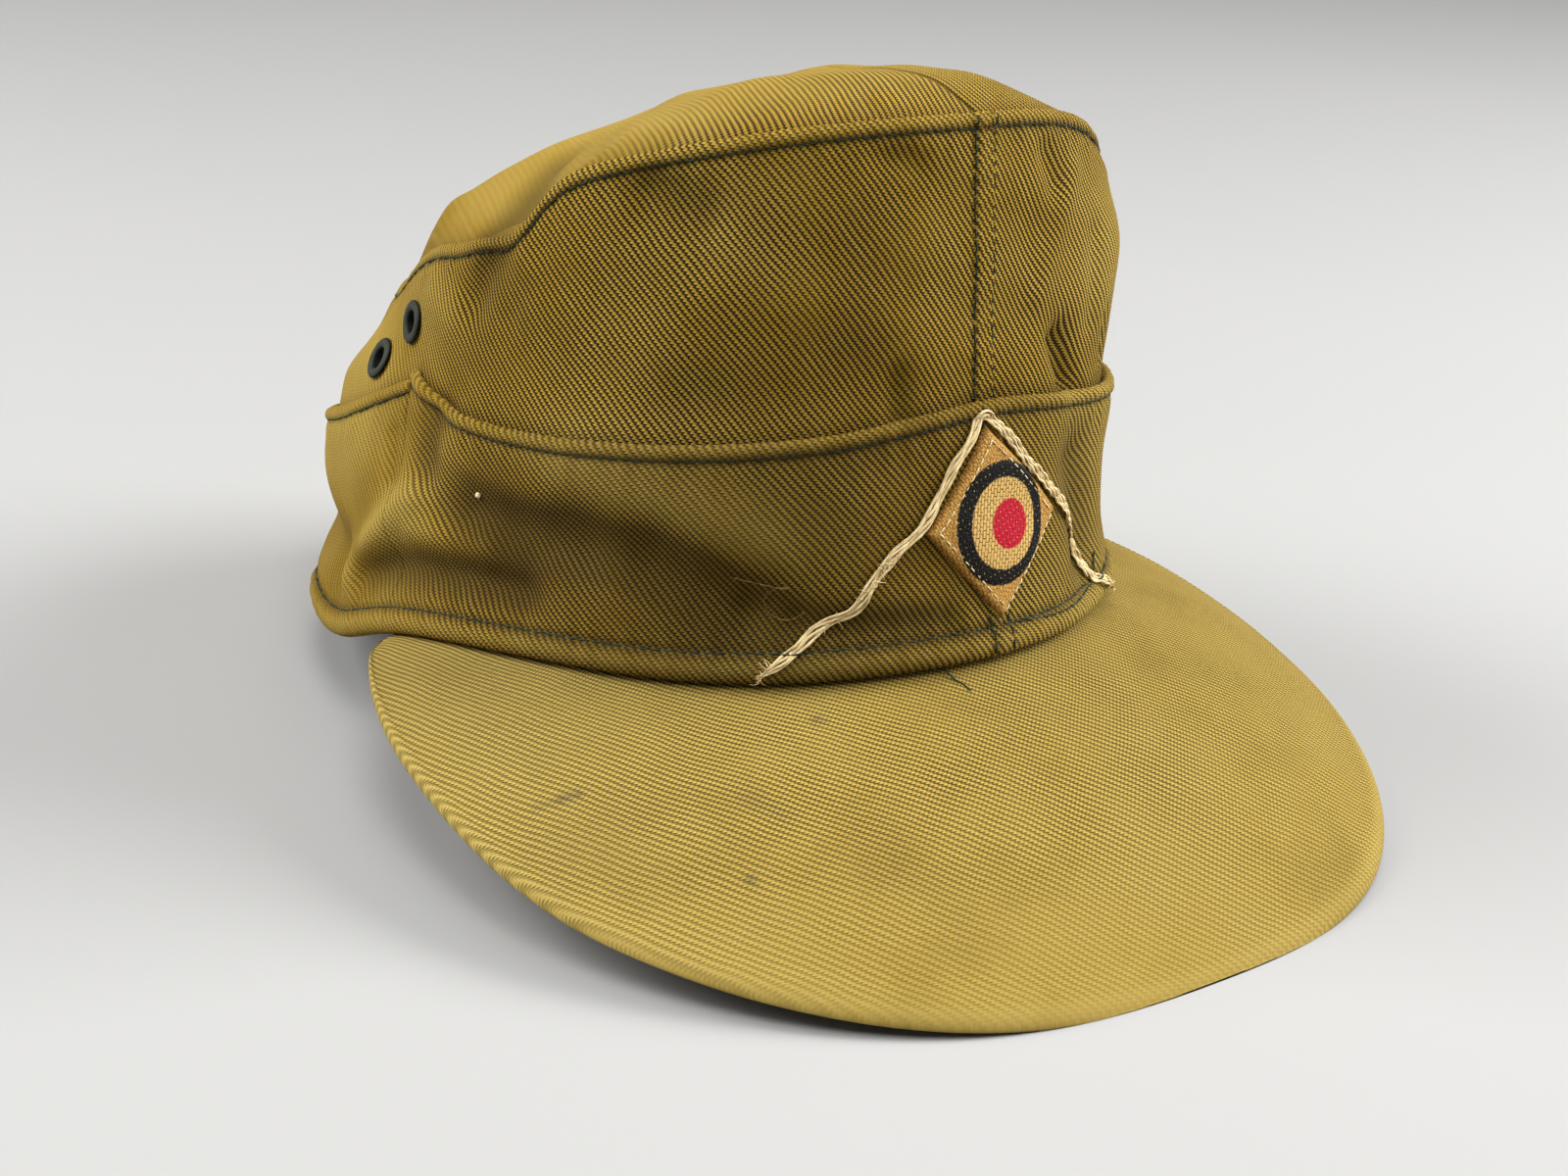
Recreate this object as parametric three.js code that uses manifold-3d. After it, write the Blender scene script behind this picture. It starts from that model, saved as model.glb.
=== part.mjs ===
// Tropical field cap: twill crown with a sewn-down turn-up flap, a long cloth-covered visor, a cockade
// patch under a soutache chevron, and four vent eyelets. Millimetres, +Z up, front toward -Y, origin on
// the floor under the middle of the cap, which rests on the tip of its visor and the back of its rim.
//
// Every surface is first worked out in the cap's own frame, whose XY plane is the plane of the rim. "turn"
// is the angle round the crown in degrees, 0 at the front and positive toward the wearer's right (-X), and
// "height" is measured up the wall from the rim.
import * as THREE from 'three';
import Module from 'manifold-3d';
import { mergeVertices } from 'three/addons/utils/BufferGeometryUtils.js';

// Rim of the cap, an oval whose sides rise a little
const RIM_HALF_LENGTH = 101;
const RIM_HALF_WIDTH = 84;
const RIM_SIDE_LIFT = 7.5;
const RIM_SAGS = [
  { turn: 106.5, span: 14.5, drop: 5.7 },
  { turn: 41.5, span: 23, drop: 2.1 },
];

// Cloth and clearances
const CLOTH = 1.4;
const FLAP_CLOTH = 1.9;
const GAP = 0.3;
const TRIM_GAP = 0.4;
const WALL_INSET = FLAP_CLOTH + GAP;
const WALL_FOOT = 0.8;

// Top seam by turn: how far it lies inside the rim, how high it is, and how far the wall below it swells
const TOP_SEAM = [
  { turn: 0, inset: -4.5, height: 107.6, swell: -1 },
  { turn: 30, inset: -4.5, height: 106.6, swell: 1.5 },
  { turn: 60, inset: 2.5, height: 99.8, swell: 0.5 },
  { turn: 90, inset: 17.5, height: 85.6, swell: -1.5 },
  { turn: 120, inset: 24, height: 74.5, swell: 0 },
  { turn: 150, inset: 20.5, height: 73.5, swell: -1 },
  { turn: 180, inset: 21.5, height: 73, swell: -1.5 },
];
const LEAN_POWER = 1.5;
const SEAM_STIFFNESS = 7;

// Upper edges of the turn-up flap by turn
const FLAP_CORNER = 89.2;
const FLAP_FRONT_EDGE = [
  { turn: 0, height: 50.8 },
  { turn: 25, height: 47.6 },
  { turn: 50, height: 47 },
  { turn: 75, height: 49.5 },
  { turn: FLAP_CORNER, height: 57.9 },
];
const FLAP_REAR_EDGE = [
  { turn: FLAP_CORNER, height: 55.9 },
  { turn: 130, height: 44.5 },
  { turn: 180, height: 42.5 },
];

// Visor edge by compass angle from the front: reach from the middle of the rim, and drop below the rim plane
const VISOR_EDGE = [
  { turn: 0, reach: 157.5, drop: 57.8 },
  { turn: 22, reach: 158.5, drop: 52.3 },
  { turn: 45, reach: 144, drop: 35 },
  { turn: 65, reach: 119.5, drop: 12.7 },
  { turn: 82, reach: 97, drop: -1.7 },
  { turn: 89, reach: 86, drop: -2.4 },
];
const VISOR_THICKNESS = 3;
const VISOR_TUCK = 3;
const VISOR_CROWNING = 5;
const VISOR_CLEARANCE = 1;
const VISOR_EDGE_TAPER = 0.7;

// Padded seams: the rib along the top seam, the welt along the flap's upper edge and the roll round the rim
const RIB = { width: 3, puff: 0.8, groove: 0.3 };
const EDGE_WELT = { width: 2.7, puff: 0.7, groove: 0.2 };
const RIM_ROLL = { width: 5.2, puff: 1.3, groove: 0.2, foot: -0.6 };
const FELLED_SEAM = { halfWidth: 2.4, step: 0.5, raise: 0.5 };

// Dome of the top panel
const DOME = { centreY: -22, rise: 22, power: 2.6 };

// Long dents (depth below 0) and ridges (above 0) in the side walls, each along a line from A to B
const WALL_FOLDS = [
  { turnA: 73, heightA: 27, turnB: 57, heightB: 25, width: 8.5, depth: -4.2 },
  { turnA: 47, heightA: 23, turnB: 37, heightB: 15, width: 8.5, depth: -4.4 },
  { turnA: 56, heightA: 42, turnB: 34, heightB: 27, width: 9, depth: 2 },
  { turnA: 97, heightA: 14, turnB: 66, heightB: 13, width: 5, depth: -3.6 },
  { turnA: 101, heightA: 13, turnB: 85, heightB: 31, width: 5, depth: 2.8 },
  { turnA: 84, heightA: 23, turnB: 72, heightB: 22, width: 4.5, depth: 1.6 },
  { turnA: 81, heightA: 48, turnB: 83, heightB: 36, width: 4.5, depth: -2.4 },
  { turnA: 108, heightA: 17, turnB: 140, heightB: 21, width: 8, depth: -4 },
  { turnA: -42, heightA: 26, turnB: -66, heightB: 26, width: 13, depth: -5.5 },
  { turnA: -88, heightA: 30, turnB: -130, heightB: 20, width: 9, depth: -2.5 },
  { turnA: -32, heightA: 76, turnB: -60, heightB: 70, width: 17, depth: 4 },
  { turnA: 106, heightA: 49, turnB: 140, heightB: 43, width: 16, depth: 4.2 },
  { turnA: 110, heightA: 60, turnB: 130, heightB: 54, width: 7, depth: 2.2 },
  { turnA: 44, heightA: 98, turnB: 38, heightB: 92, width: 5, depth: -2.4 },
  { turnA: 40, heightA: 56, turnB: 18, heightB: 55, width: 9, depth: -1.6 },
  { turnA: 68, heightA: 88, turnB: 74, heightB: 75, width: 5, depth: -2.6 },
  { turnA: 86, heightA: 75, turnB: 80, heightB: 71, width: 6, depth: 1.6 },
  { turnA: -16, heightA: 60, turnB: -19, heightB: 51, width: 4.5, depth: -2.4 },
  { turnA: -20, heightA: 33, turnB: -23, heightB: 13, width: 10, depth: -2.2 },
];
// Dips of the top seam, and the valleys and bumps that they send into the top panel (reach 0 middle, 1 seam)
const SEAM_DIPS = [
  { turn: 64.8, span: 6.5, drop: 6.2 },
  { turn: 74.8, span: 10.4, drop: 5 },
  { turn: -44, span: 20, drop: 8.5 },
];
const TOP_FOLDS = [
  { turnA: 57, reachA: 0.87, turnB: 71, reachB: 0.85, width: 7, depth: -8 },
  { turnA: 50, reachA: 0.62, turnB: 40, reachB: 0.45, width: 14, depth: -3.2 },
  { turnA: 98, reachA: 0.88, turnB: 130, reachB: 0.75, width: 17, depth: 5.5 },
  { turnA: 96, reachA: 0.95, turnB: 122, reachB: 0.94, width: 5, depth: 8 },
  { turnA: 8, reachA: 0.85, turnB: -10, reachB: 0.8, width: 10, depth: 2 },
  { turnA: -70, reachA: 1, turnB: -80, reachB: 0.6, width: 10, depth: -3 },
];

// Cockade patch, a diamond on the front seam of the flap, whose upper tip leans to the wearer's right
const PATCH = { halfWidth: 17.3, bottom: 6.9, top: 46.2, tipLean: 2.4, thickness: 1.2 };

// Soutache braid from the rim on the right, up over the patch and down to the rim on the left
const BRAID = { width: 2.5, thickness: 1.4 };
const BRAID_PATH = [
  { turn: 35.1, height: 0.6 },
  { turn: 32.9, height: 3.1 },
  { turn: 30, height: 5.9 },
  { turn: 27.7, height: 8.9 },
  { turn: 25.2, height: 11 },
  { turn: 22.9, height: 12.7 },
  { turn: 21.3, height: 15.2 },
  { turn: 19.2, height: 19.4 },
  { turn: 16.8, height: 22.8 },
  { turn: 14.2, height: 25.9 },
  { turn: 11, height: 30.7 },
  { turn: 9.5, height: 34 },
  { turn: 6.8, height: 39.4 },
  { turn: 4.2, height: 44.7 },
  { turn: 1.9, height: 48.5 },
  { turn: -0.5, height: 46.2 },
  { turn: -4, height: 41 },
  { turn: -7.6, height: 35.7 },
  { turn: -11.2, height: 30.5 },
  { turn: -13.6, height: 27.4 },
  { turn: -15.8, height: 25 },
  { turn: -18.5, height: 21 },
  { turn: -21.2, height: 17 },
  { turn: -23.2, height: 13.4 },
  { turn: -24.4, height: 10.6 },
  { turn: -25.4, height: 7.8 },
  { turn: -26.6, height: 5.9 },
  { turn: -28.7, height: 4.6 },
  { turn: -31.2, height: 2.4 },
  { turn: -32.5, height: 0.8 },
];
const BRAID_STEPS = 2;

// Vent eyelets, a pair on each side behind the flap's corner
const EYELET = { outer: 4.7, crest: 3.5, lip: 4.1, cut: 3.3, barrel: 2.9, hole: 2.4, seat: 0.45, sides: 16 };
const EYELET_HEIGHT = { dome: 0.7, mouth: 0.42, lip: 0.55 };
const EYELET_PLACES = [
  { name: 'eyelet_right_front', turn: 93, height: 68.4 },
  { name: 'eyelet_right_rear', turn: 102, height: 60.3 },
  { name: 'eyelet_left_front', turn: -93, height: 68.4 },
  { name: 'eyelet_left_rear', turn: -102, height: 60.3 },
];

// Resting pose: the rim plane tips back until the visor and the back of the rim are on the floor
const REST_TILT = THREE.MathUtils.degToRad(12.5);
const REST_HEIGHT = 21.3;
const REST_SHIFT = 33.2;

// Grid counts
const FRONT_COLUMNS = 17;
const REAR_COLUMNS = 13;
const VISOR_COLUMNS = 34;
const TOP_GRID = 12;
const PATCH_GRID = 6;

// Rows of the grids, each a fraction of the stretch of cloth that it crosses
const ROLL_ROWS = [0.2, 0.6, 1];
const FLAP_BODY_ROWS = [0.15, 0.32, 0.5, 0.68, 0.85];
const WELT_CREST_ROW = 0.45;
const BARE_WALL_ROWS = [0.28, 0.55, 0.8, 1];
const RIB_ROWS = [0.35, 0.75, 1];
const VISOR_ROWS = [0, 0.2, 0.4, 0.6, 0.8, 0.975, 1];
const BRAID_ROWS = [-1, -0.4, 0.4, 1];

// Corners of a turned solid that are nearer than this are one corner
const MERGE_DISTANCE = 1e-4;
const DRILL_LENGTH = 8 * CLOTH;

const COLOURS = {
  twill: '#8c7332', visorTwill: '#9a8039', patch: '#b08d52', braid: '#d8c79a', eyelet: '#2f3230',
};
const TWILL = { color: COLOURS.twill, roughness: 0.92, metalness: 0 };
const EYELET_METAL = { color: COLOURS.eyelet, roughness: 0.5, metalness: 0.8 };

// Smooth value of one column of a table: cubic between the rows, level at turn 0 and 180
function lookUp(rows, column, turn) {
  const last = rows.length - 1;
  const x = THREE.MathUtils.clamp(turn, rows[0].turn, rows[last].turn);
  let i = 0;
  while (i < last - 1 && x > rows[i + 1].turn) i += 1;
  const slopeAt = (k) => {
    if (rows[k].turn === 0 || rows[k].turn === 180) return 0;
    const before = rows[Math.max(k - 1, 0)];
    const after = rows[Math.min(k + 1, last)];
    return (after[column] - before[column]) / (after.turn - before.turn);
  };
  const span = rows[i + 1].turn - rows[i].turn;
  const u = (x - rows[i].turn) / span;
  const start = rows[i][column];
  const rise = rows[i + 1][column] - start;
  const ease = u * u * (3 - 2 * u);
  return start + rise * ease + span * u * (1 - u) * ((1 - u) * slopeAt(i) - u * slopeAt(i + 1));
}

// Turn brought into 0 to 180, because the tables serve both sides
function sideTurn(turn) {
  const around = Math.abs(turn) % 360;
  return around > 180 ? 360 - around : around;
}

// Millimetres round the rim for one degree of turn, near enough for widths of folds
const MM_PER_DEGREE = THREE.MathUtils.degToRad((RIM_HALF_LENGTH + RIM_HALF_WIDTH) / 2);

// Bell-shaped fall-off of one fold at the point (x, y), with the fold's line from (ax, ay) to (bx, by)
function foldAt(x, y, ax, ay, bx, by, width) {
  const dx = bx - ax;
  const dy = by - ay;
  const along = THREE.MathUtils.clamp(((x - ax) * dx + (y - ay) * dy) / (dx * dx + dy * dy), 0, 1);
  const away = Math.hypot(x - ax - along * dx, y - ay - along * dy) / width;
  return Math.exp(-away * away);
}

// Sum of the wall's folds, which die out at the stiff top seam
function wallFold(turn, height) {
  const signed = turn > 180 ? turn - 360 : turn;
  let depth = 0;
  for (const fold of WALL_FOLDS) {
    const ax = fold.turnA * MM_PER_DEGREE;
    const bx = fold.turnB * MM_PER_DEGREE;
    const x = signed * MM_PER_DEGREE;
    depth += fold.depth * foldAt(x, height, ax, fold.heightA, bx, fold.heightB, fold.width);
  }
  return depth * THREE.MathUtils.smoothstep(seamHeight(turn) - height, 0, SEAM_STIFFNESS);
}

// Sum of bell-shaped drops round the crown
function dropAt(rows, turn) {
  const signed = turn > 180 ? turn - 360 : turn;
  const bell = (row) => row.drop * Math.exp(-(((signed - row.turn) / row.span) ** 2));
  return rows.reduce((sum, row) => sum + bell(row), 0);
}

function seamHeight(turn) {
  return lookUp(TOP_SEAM, 'height', sideTurn(turn)) - dropAt(SEAM_DIPS, turn);
}

// Height of the rim above its own plane
function rimRise(turn) {
  return RIM_SIDE_LIFT * Math.sin(THREE.MathUtils.degToRad(turn)) ** 2 - dropAt(RIM_SAGS, turn);
}

function flapHeight(turn) {
  const side = sideTurn(turn);
  return lookUp(side <= FLAP_CORNER ? FLAP_FRONT_EDGE : FLAP_REAR_EDGE, 'height', side);
}

// Point on the crown at a turn and height, pushed out from the flap's plain skin by offset
function crownPoint(turn, height, offset) {
  const t = THREE.MathUtils.degToRad(turn);
  const side = sideTurn(turn);
  const w = height / seamHeight(turn);
  const rise = Math.max(w, 0);
  const lean = lookUp(TOP_SEAM, 'inset', side) * rise ** LEAN_POWER;
  const swell = lookUp(TOP_SEAM, 'swell', side) * Math.sin(Math.PI * rise);
  const out = new THREE.Vector3(-Math.sin(t) / RIM_HALF_WIDTH, -Math.cos(t) / RIM_HALF_LENGTH, 0);
  out.normalize();
  const point = new THREE.Vector3(-RIM_HALF_WIDTH * Math.sin(t), -RIM_HALF_LENGTH * Math.cos(t), 0);
  point.addScaledVector(out, offset - lean + swell + wallFold(turn, height));
  point.z = rimRise(turn) * (1 - w) + height;
  return point;
}

// Lifts a point of the cap's frame that would go below the floor up to the floor, as resting cloth flattens
function onFloor(point) {
  const up = new THREE.Vector3(0, -Math.sin(REST_TILT), Math.cos(REST_TILT));
  const above = point.dot(up) + REST_HEIGHT;
  return above < 0 ? point.addScaledVector(up, -above) : point;
}

// Half-round puff across a padded seam: 0 at both sides, 1 in the middle, for 0 <= x <= 1
function puffShape(x) {
  return Math.sqrt(Math.max(1 - (2 * x - 1) ** 2, 0));
}

// Closed solid between two grids of points, outer[i][j] and inner[i][j]
function slab(outer, inner) {
  const columns = outer.length;
  const rows = outer[0].length;
  const positions = [];
  for (const sheet of [outer, inner]) {
    for (const column of sheet) {
      for (const point of column) positions.push(...onFloor(point.clone()).toArray());
    }
  }
  const at = (sheet, i, j) => (sheet * columns + i) * rows + j;
  const index = [];
  const quad = (a, b, c, d) => index.push(a, b, c, a, c, d);
  for (let i = 0; i < columns - 1; i += 1) {
    for (let j = 0; j < rows - 1; j += 1) {
      quad(at(0, i, j), at(0, i + 1, j), at(0, i + 1, j + 1), at(0, i, j + 1));
      quad(at(1, i, j), at(1, i, j + 1), at(1, i + 1, j + 1), at(1, i + 1, j));
    }
    quad(at(0, i + 1, 0), at(0, i, 0), at(1, i, 0), at(1, i + 1, 0));
    quad(at(0, i, rows - 1), at(0, i + 1, rows - 1), at(1, i + 1, rows - 1), at(1, i, rows - 1));
  }
  for (let j = 0; j < rows - 1; j += 1) {
    quad(at(0, 0, j), at(0, 0, j + 1), at(1, 0, j + 1), at(1, 0, j));
    const end = columns - 1;
    quad(at(0, end, j + 1), at(0, end, j), at(1, end, j), at(1, end, j + 1));
  }
  const geometry = new THREE.BufferGeometry();
  geometry.setAttribute('position', new THREE.Float32BufferAttribute(positions, 3));
  geometry.setIndex(index);
  return outward(geometry);
}

// Turns every face over if the solid's signed volume is negative
function outward(geometry) {
  const position = geometry.attributes.position;
  const index = geometry.index.array;
  const corner = [new THREE.Vector3(), new THREE.Vector3(), new THREE.Vector3()];
  let volume = 0;
  for (let k = 0; k < index.length; k += 3) {
    corner.forEach((vertex, n) => vertex.fromBufferAttribute(position, index[k + n]));
    volume += corner[0].dot(corner[1].cross(corner[2]));
  }
  if (volume < 0) index.reverse();
  geometry.computeVertexNormals();
  return geometry;
}

// Grid of points from two lists of parameters
function sheet(first, second, pointAt) {
  return first.map((a) => second.map((b) => pointAt(a, b)));
}

function evenly(from, to, steps) {
  return Array.from({ length: steps + 1 }, (_, k) => from + ((to - from) * k) / steps);
}

// Turns of the columns on the right side. Pieces that meet stop half a gap short of their seam.
const DEGREES_PER_MM = THREE.MathUtils.radToDeg(1 / RIM_HALF_WIDTH);
const SEAM_TURN = (GAP / 2) * DEGREES_PER_MM;
const FELL_TURN = FELLED_SEAM.halfWidth * DEGREES_PER_MM;
const FELL_FOOT_TURN = FELL_TURN + FELLED_SEAM.step * DEGREES_PER_MM;
const FRONT_TURNS = evenly(0, FLAP_CORNER, FRONT_COLUMNS).slice(1, -1);
const REAR_TURNS = evenly(FLAP_CORNER, 180, REAR_COLUMNS).slice(1, -1);
const CORNER_TURNS = [FLAP_CORNER - SEAM_TURN, FLAP_CORNER + SEAM_TURN];
const onLeft = (turns) => turns.map((turn) => -turn).reverse();
const WALL_TURNS = [
  SEAM_TURN, FELL_TURN, FELL_FOOT_TURN, ...FRONT_TURNS, ...CORNER_TURNS, ...REAR_TURNS, 180 - SEAM_TURN,
];
const FLAP_FRONT_TURNS = [SEAM_TURN, ...FRONT_TURNS, CORNER_TURNS[0]];
const HALF_REAR_TURNS = [CORNER_TURNS[1], ...REAR_TURNS];
const FLAP_REAR_TURNS = [...HALF_REAR_TURNS, 180, ...onLeft(HALF_REAR_TURNS).map((turn) => 360 + turn)];

// Rows of cloth from the rim to the flap's edge, each a fraction of the edge's height and some mm more
const FLAP_BODY = FLAP_BODY_ROWS.map((fraction) => ({ fraction, mm: 0 }));
const FLAP_ROWS = [
  { fraction: 0, mm: RIM_ROLL.foot },
  ...ROLL_ROWS.map((part) => ({ fraction: 0, mm: RIM_ROLL.width * part })),
  ...FLAP_BODY,
  { fraction: 1, mm: -EDGE_WELT.width },
  { fraction: 1, mm: -EDGE_WELT.width * WELT_CREST_ROW },
  { fraction: 1, mm: 0 },
];
const COVERED_ROWS = [
  { fraction: 0, mm: WALL_FOOT },
  { fraction: 0, mm: RIM_ROLL.width },
  ...FLAP_BODY,
  { fraction: 1, mm: -EDGE_WELT.width },
  { fraction: 1, mm: 0 },
];

// How far the flap's outer skin stands out from its plain skin at a height
function flapPuff(height, edge) {
  if (height <= RIM_ROLL.width) {
    const x = (height - RIM_ROLL.foot) / (RIM_ROLL.width - RIM_ROLL.foot);
    return RIM_ROLL.puff * puffShape(x) - RIM_ROLL.groove * x;
  }
  const fromEdge = edge - height;
  if (fromEdge <= EDGE_WELT.width) {
    const x = fromEdge / EDGE_WELT.width;
    return EDGE_WELT.puff * puffShape(x) - EDGE_WELT.groove * x;
  }
  return 0;
}

function flapSolid(turns, edgeRows) {
  const edgeAt = (turn) => lookUp(edgeRows, 'height', sideTurn(turn));
  const heightAt = (turn, row) => row.fraction * edgeAt(turn) + row.mm;
  const skin = (turn, row) => {
    const height = heightAt(turn, row);
    return crownPoint(turn, height, flapPuff(height, edgeAt(turn)));
  };
  const back = (turn, row) => crownPoint(turn, heightAt(turn, row), -FLAP_CLOTH);
  return slab(sheet(turns, FLAP_ROWS, skin), sheet(turns, FLAP_ROWS, back));
}

// Crown wall: one cloth thickness, with the felled seam's raised strip and the rib along the top seam
function wallSolid(turns) {
  const rows = [
    ...COVERED_ROWS.map((row) => ({ ...row, bare: 0, rib: 0 })),
    ...BARE_WALL_ROWS.map((bare) => ({ fraction: 1, mm: 0, bare, rib: 0 })),
    ...RIB_ROWS.map((rib) => ({ fraction: 1, mm: 0, bare: 1, rib })),
  ];
  const heightAt = (turn, row) => {
    const edge = flapHeight(turn);
    const groove = seamHeight(turn) - RIB.width;
    return row.fraction * edge + row.mm + row.bare * (groove - edge) + row.rib * RIB.width;
  };
  const puffAt = (turn, row) => {
    const fell = Math.abs(turn) <= FELL_TURN && row.bare > 0 ? FELLED_SEAM.raise : 0;
    if (row.rib > 0) return RIB.puff * puffShape(0.5 * row.rib) + fell;
    return row.bare === 1 ? fell - RIB.groove : fell;
  };
  const skin = (turn, row) => crownPoint(turn, heightAt(turn, row), puffAt(turn, row) - WALL_INSET);
  const back = (turn, row) => crownPoint(turn, heightAt(turn, row), -WALL_INSET - CLOTH);
  return slab(sheet(turns, rows, skin), sheet(turns, rows, back));
}

// One half of the top panel, which has a seam down its middle, on half of a square grid that is mapped to a
// disc, so that it has no pole. side is 1 on the wearer's right and -1 on the left.
function topSolid(side) {
  const seamPoint = (turn) => crownPoint(turn, seamHeight(turn), -WALL_INSET - CLOTH - GAP);
  const middle = (TOP_SEAM[0].height + TOP_SEAM[TOP_SEAM.length - 1].height) / 2;
  const planPoint = (turn, reach) => {
    const seam = seamPoint(turn);
    return new THREE.Vector3(seam.x * reach, DOME.centreY + (seam.y - DOME.centreY) * reach, seam.z);
  };
  const foldOver = (point) => {
    let depth = 0;
    for (const fold of TOP_FOLDS) {
      const a = planPoint(fold.turnA, fold.reachA);
      const b = planPoint(fold.turnB, fold.reachB);
      depth += fold.depth * foldAt(point.x, point.y, a.x, a.y, b.x, b.y, fold.width);
    }
    return depth;
  };
  const skin = (u, v) => {
    const x = u * Math.sqrt(1 - (v * v) / 2);
    const y = v * Math.sqrt(1 - (u * u) / 2);
    const reach = Math.min(Math.hypot(x, y), 1);
    const point = planPoint(THREE.MathUtils.radToDeg(Math.atan2(x, y)), reach);
    const dome = 1 - reach ** DOME.power;
    point.z = point.z * reach + middle * (1 - reach) + DOME.rise * dome + foldOver(point) * Math.sqrt(dome);
    point.x -= side * (GAP / 2) * (1 - Math.abs(u));
    return point;
  };
  const back = (u, v) => skin(u, v).add(new THREE.Vector3(0, 0, -CLOTH));
  const across = evenly(0, side, TOP_GRID / 2);
  const along = evenly(-1, 1, TOP_GRID);
  return slab(sheet(across, along, skin), sheet(across, along, back));
}

// Visor from under the rim out to its edge, crowned across and rounded at the edge. Its columns stand
// closer together toward the ends, where the edge turns most.
function visorSolid() {
  const limit = VISOR_EDGE[VISOR_EDGE.length - 1].turn;
  const turns = evenly(-1, 1, VISOR_COLUMNS).map((k) => (limit * Math.sin(k)) / Math.sin(1));
  const middle = (turn, s) => {
    const t = THREE.MathUtils.degToRad(turn);
    const along = new THREE.Vector3(-Math.sin(t), -Math.cos(t), 0);
    const rimReach = 1 / Math.hypot(Math.sin(t) / RIM_HALF_WIDTH, Math.cos(t) / RIM_HALF_LENGTH);
    const rimTurn = Math.atan2(Math.sin(t) / RIM_HALF_WIDTH, Math.cos(t) / RIM_HALF_LENGTH);
    const reach = lookUp(VISOR_EDGE, 'reach', Math.abs(turn));
    const drop = lookUp(VISOR_EDGE, 'drop', Math.abs(turn));
    const root = along.clone().multiplyScalar(rimReach - VISOR_TUCK);
    root.z = rimRise(THREE.MathUtils.radToDeg(rimTurn)) - VISOR_CLEARANCE - VISOR_THICKNESS / 2;
    const edge = along.clone().multiplyScalar(reach);
    edge.z = -drop;
    const crowning = VISOR_CROWNING * Math.sin(Math.PI * s) * Math.cos(t);
    return root.lerp(edge, s).add(new THREE.Vector3(0, 0, crowning));
  };
  const half = (s) => (VISOR_THICKNESS / 2) * (s === 1 ? 1 - VISOR_EDGE_TAPER : 1);
  const skin = (turn, s) => middle(turn, s).add(new THREE.Vector3(0, 0, half(s)));
  const back = (turn, s) => middle(turn, s).add(new THREE.Vector3(0, 0, -half(s)));
  return slab(sheet(turns, VISOR_ROWS, skin), sheet(turns, VISOR_ROWS, back));
}

// Point of something sewn on the front of the flap, at mm across from the seam, standing off its skin
function trimPoint(across, height, offset) {
  const turn = THREE.MathUtils.radToDeg(across / RIM_HALF_WIDTH);
  return crownPoint(turn, height, offset + flapPuff(height, flapHeight(turn)));
}

function patchSolid() {
  const halfHeight = (PATCH.top - PATCH.bottom) / 2;
  const steps = evenly(-1, 1, PATCH_GRID);
  const layer = (offset) => sheet(steps, steps, (a, b) => {
    const rise = (a + b) / 2;
    const lean = PATCH.tipLean * Math.max(rise, 0) ** 2;
    const across = ((a - b) / 2) * PATCH.halfWidth + lean;
    return trimPoint(across, PATCH.bottom + halfHeight * (1 + rise), offset);
  });
  return slab(layer(TRIM_GAP + PATCH.thickness), layer(TRIM_GAP));
}

function braidSolid() {
  const knots = BRAID_PATH.map((knot) => {
    const across = THREE.MathUtils.degToRad(knot.turn) * RIM_HALF_WIDTH;
    return new THREE.Vector2(across, knot.height);
  });
  const steps = [];
  for (let k = 0; k < knots.length - 1; k += 1) {
    for (let n = 0; n < BRAID_STEPS; n += 1) {
      steps.push(knots[k].clone().lerp(knots[k + 1], n / BRAID_STEPS));
    }
  }
  steps.push(knots[knots.length - 1]);
  const sideways = steps.map((_, k) => {
    const before = steps[Math.max(k - 1, 0)];
    const after = steps[Math.min(k + 1, steps.length - 1)];
    const along = after.clone().sub(before).normalize();
    return new THREE.Vector2(-along.y, along.x);
  });
  const places = steps.map((_, k) => k);
  const layer = (middleOffset, sideOffset) => sheet(places, BRAID_ROWS, (k, row) => {
    const at = steps[k].clone().addScaledVector(sideways[k], (row * BRAID.width) / 2);
    return trimPoint(at.x, at.y, Math.abs(row) === 1 ? sideOffset : middleOffset);
  });
  const outer = layer(TRIM_GAP + BRAID.thickness, TRIM_GAP + BRAID.thickness / 2);
  return slab(outer, layer(TRIM_GAP, TRIM_GAP));
}

// Where an eyelet sits on the wall: its middle, and the turn that takes +Y to the wall's outward direction
function eyeletSeat(place) {
  const middle = crownPoint(place.turn, place.height, -WALL_INSET);
  const reach = EYELET.outer;
  const up = crownPoint(place.turn, place.height + reach, -WALL_INSET);
  up.sub(crownPoint(place.turn, place.height - reach, -WALL_INSET));
  const step = reach / MM_PER_DEGREE;
  const round = crownPoint(place.turn + step, place.height, -WALL_INSET);
  round.sub(crownPoint(place.turn - step, place.height, -WALL_INSET));
  const out = up.cross(round).normalize();
  if (out.dot(middle) < 0) out.negate();
  const spin = new THREE.Quaternion().setFromUnitVectors(new THREE.Vector3(0, 1, 0), out);
  return { middle, spin };
}

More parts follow.
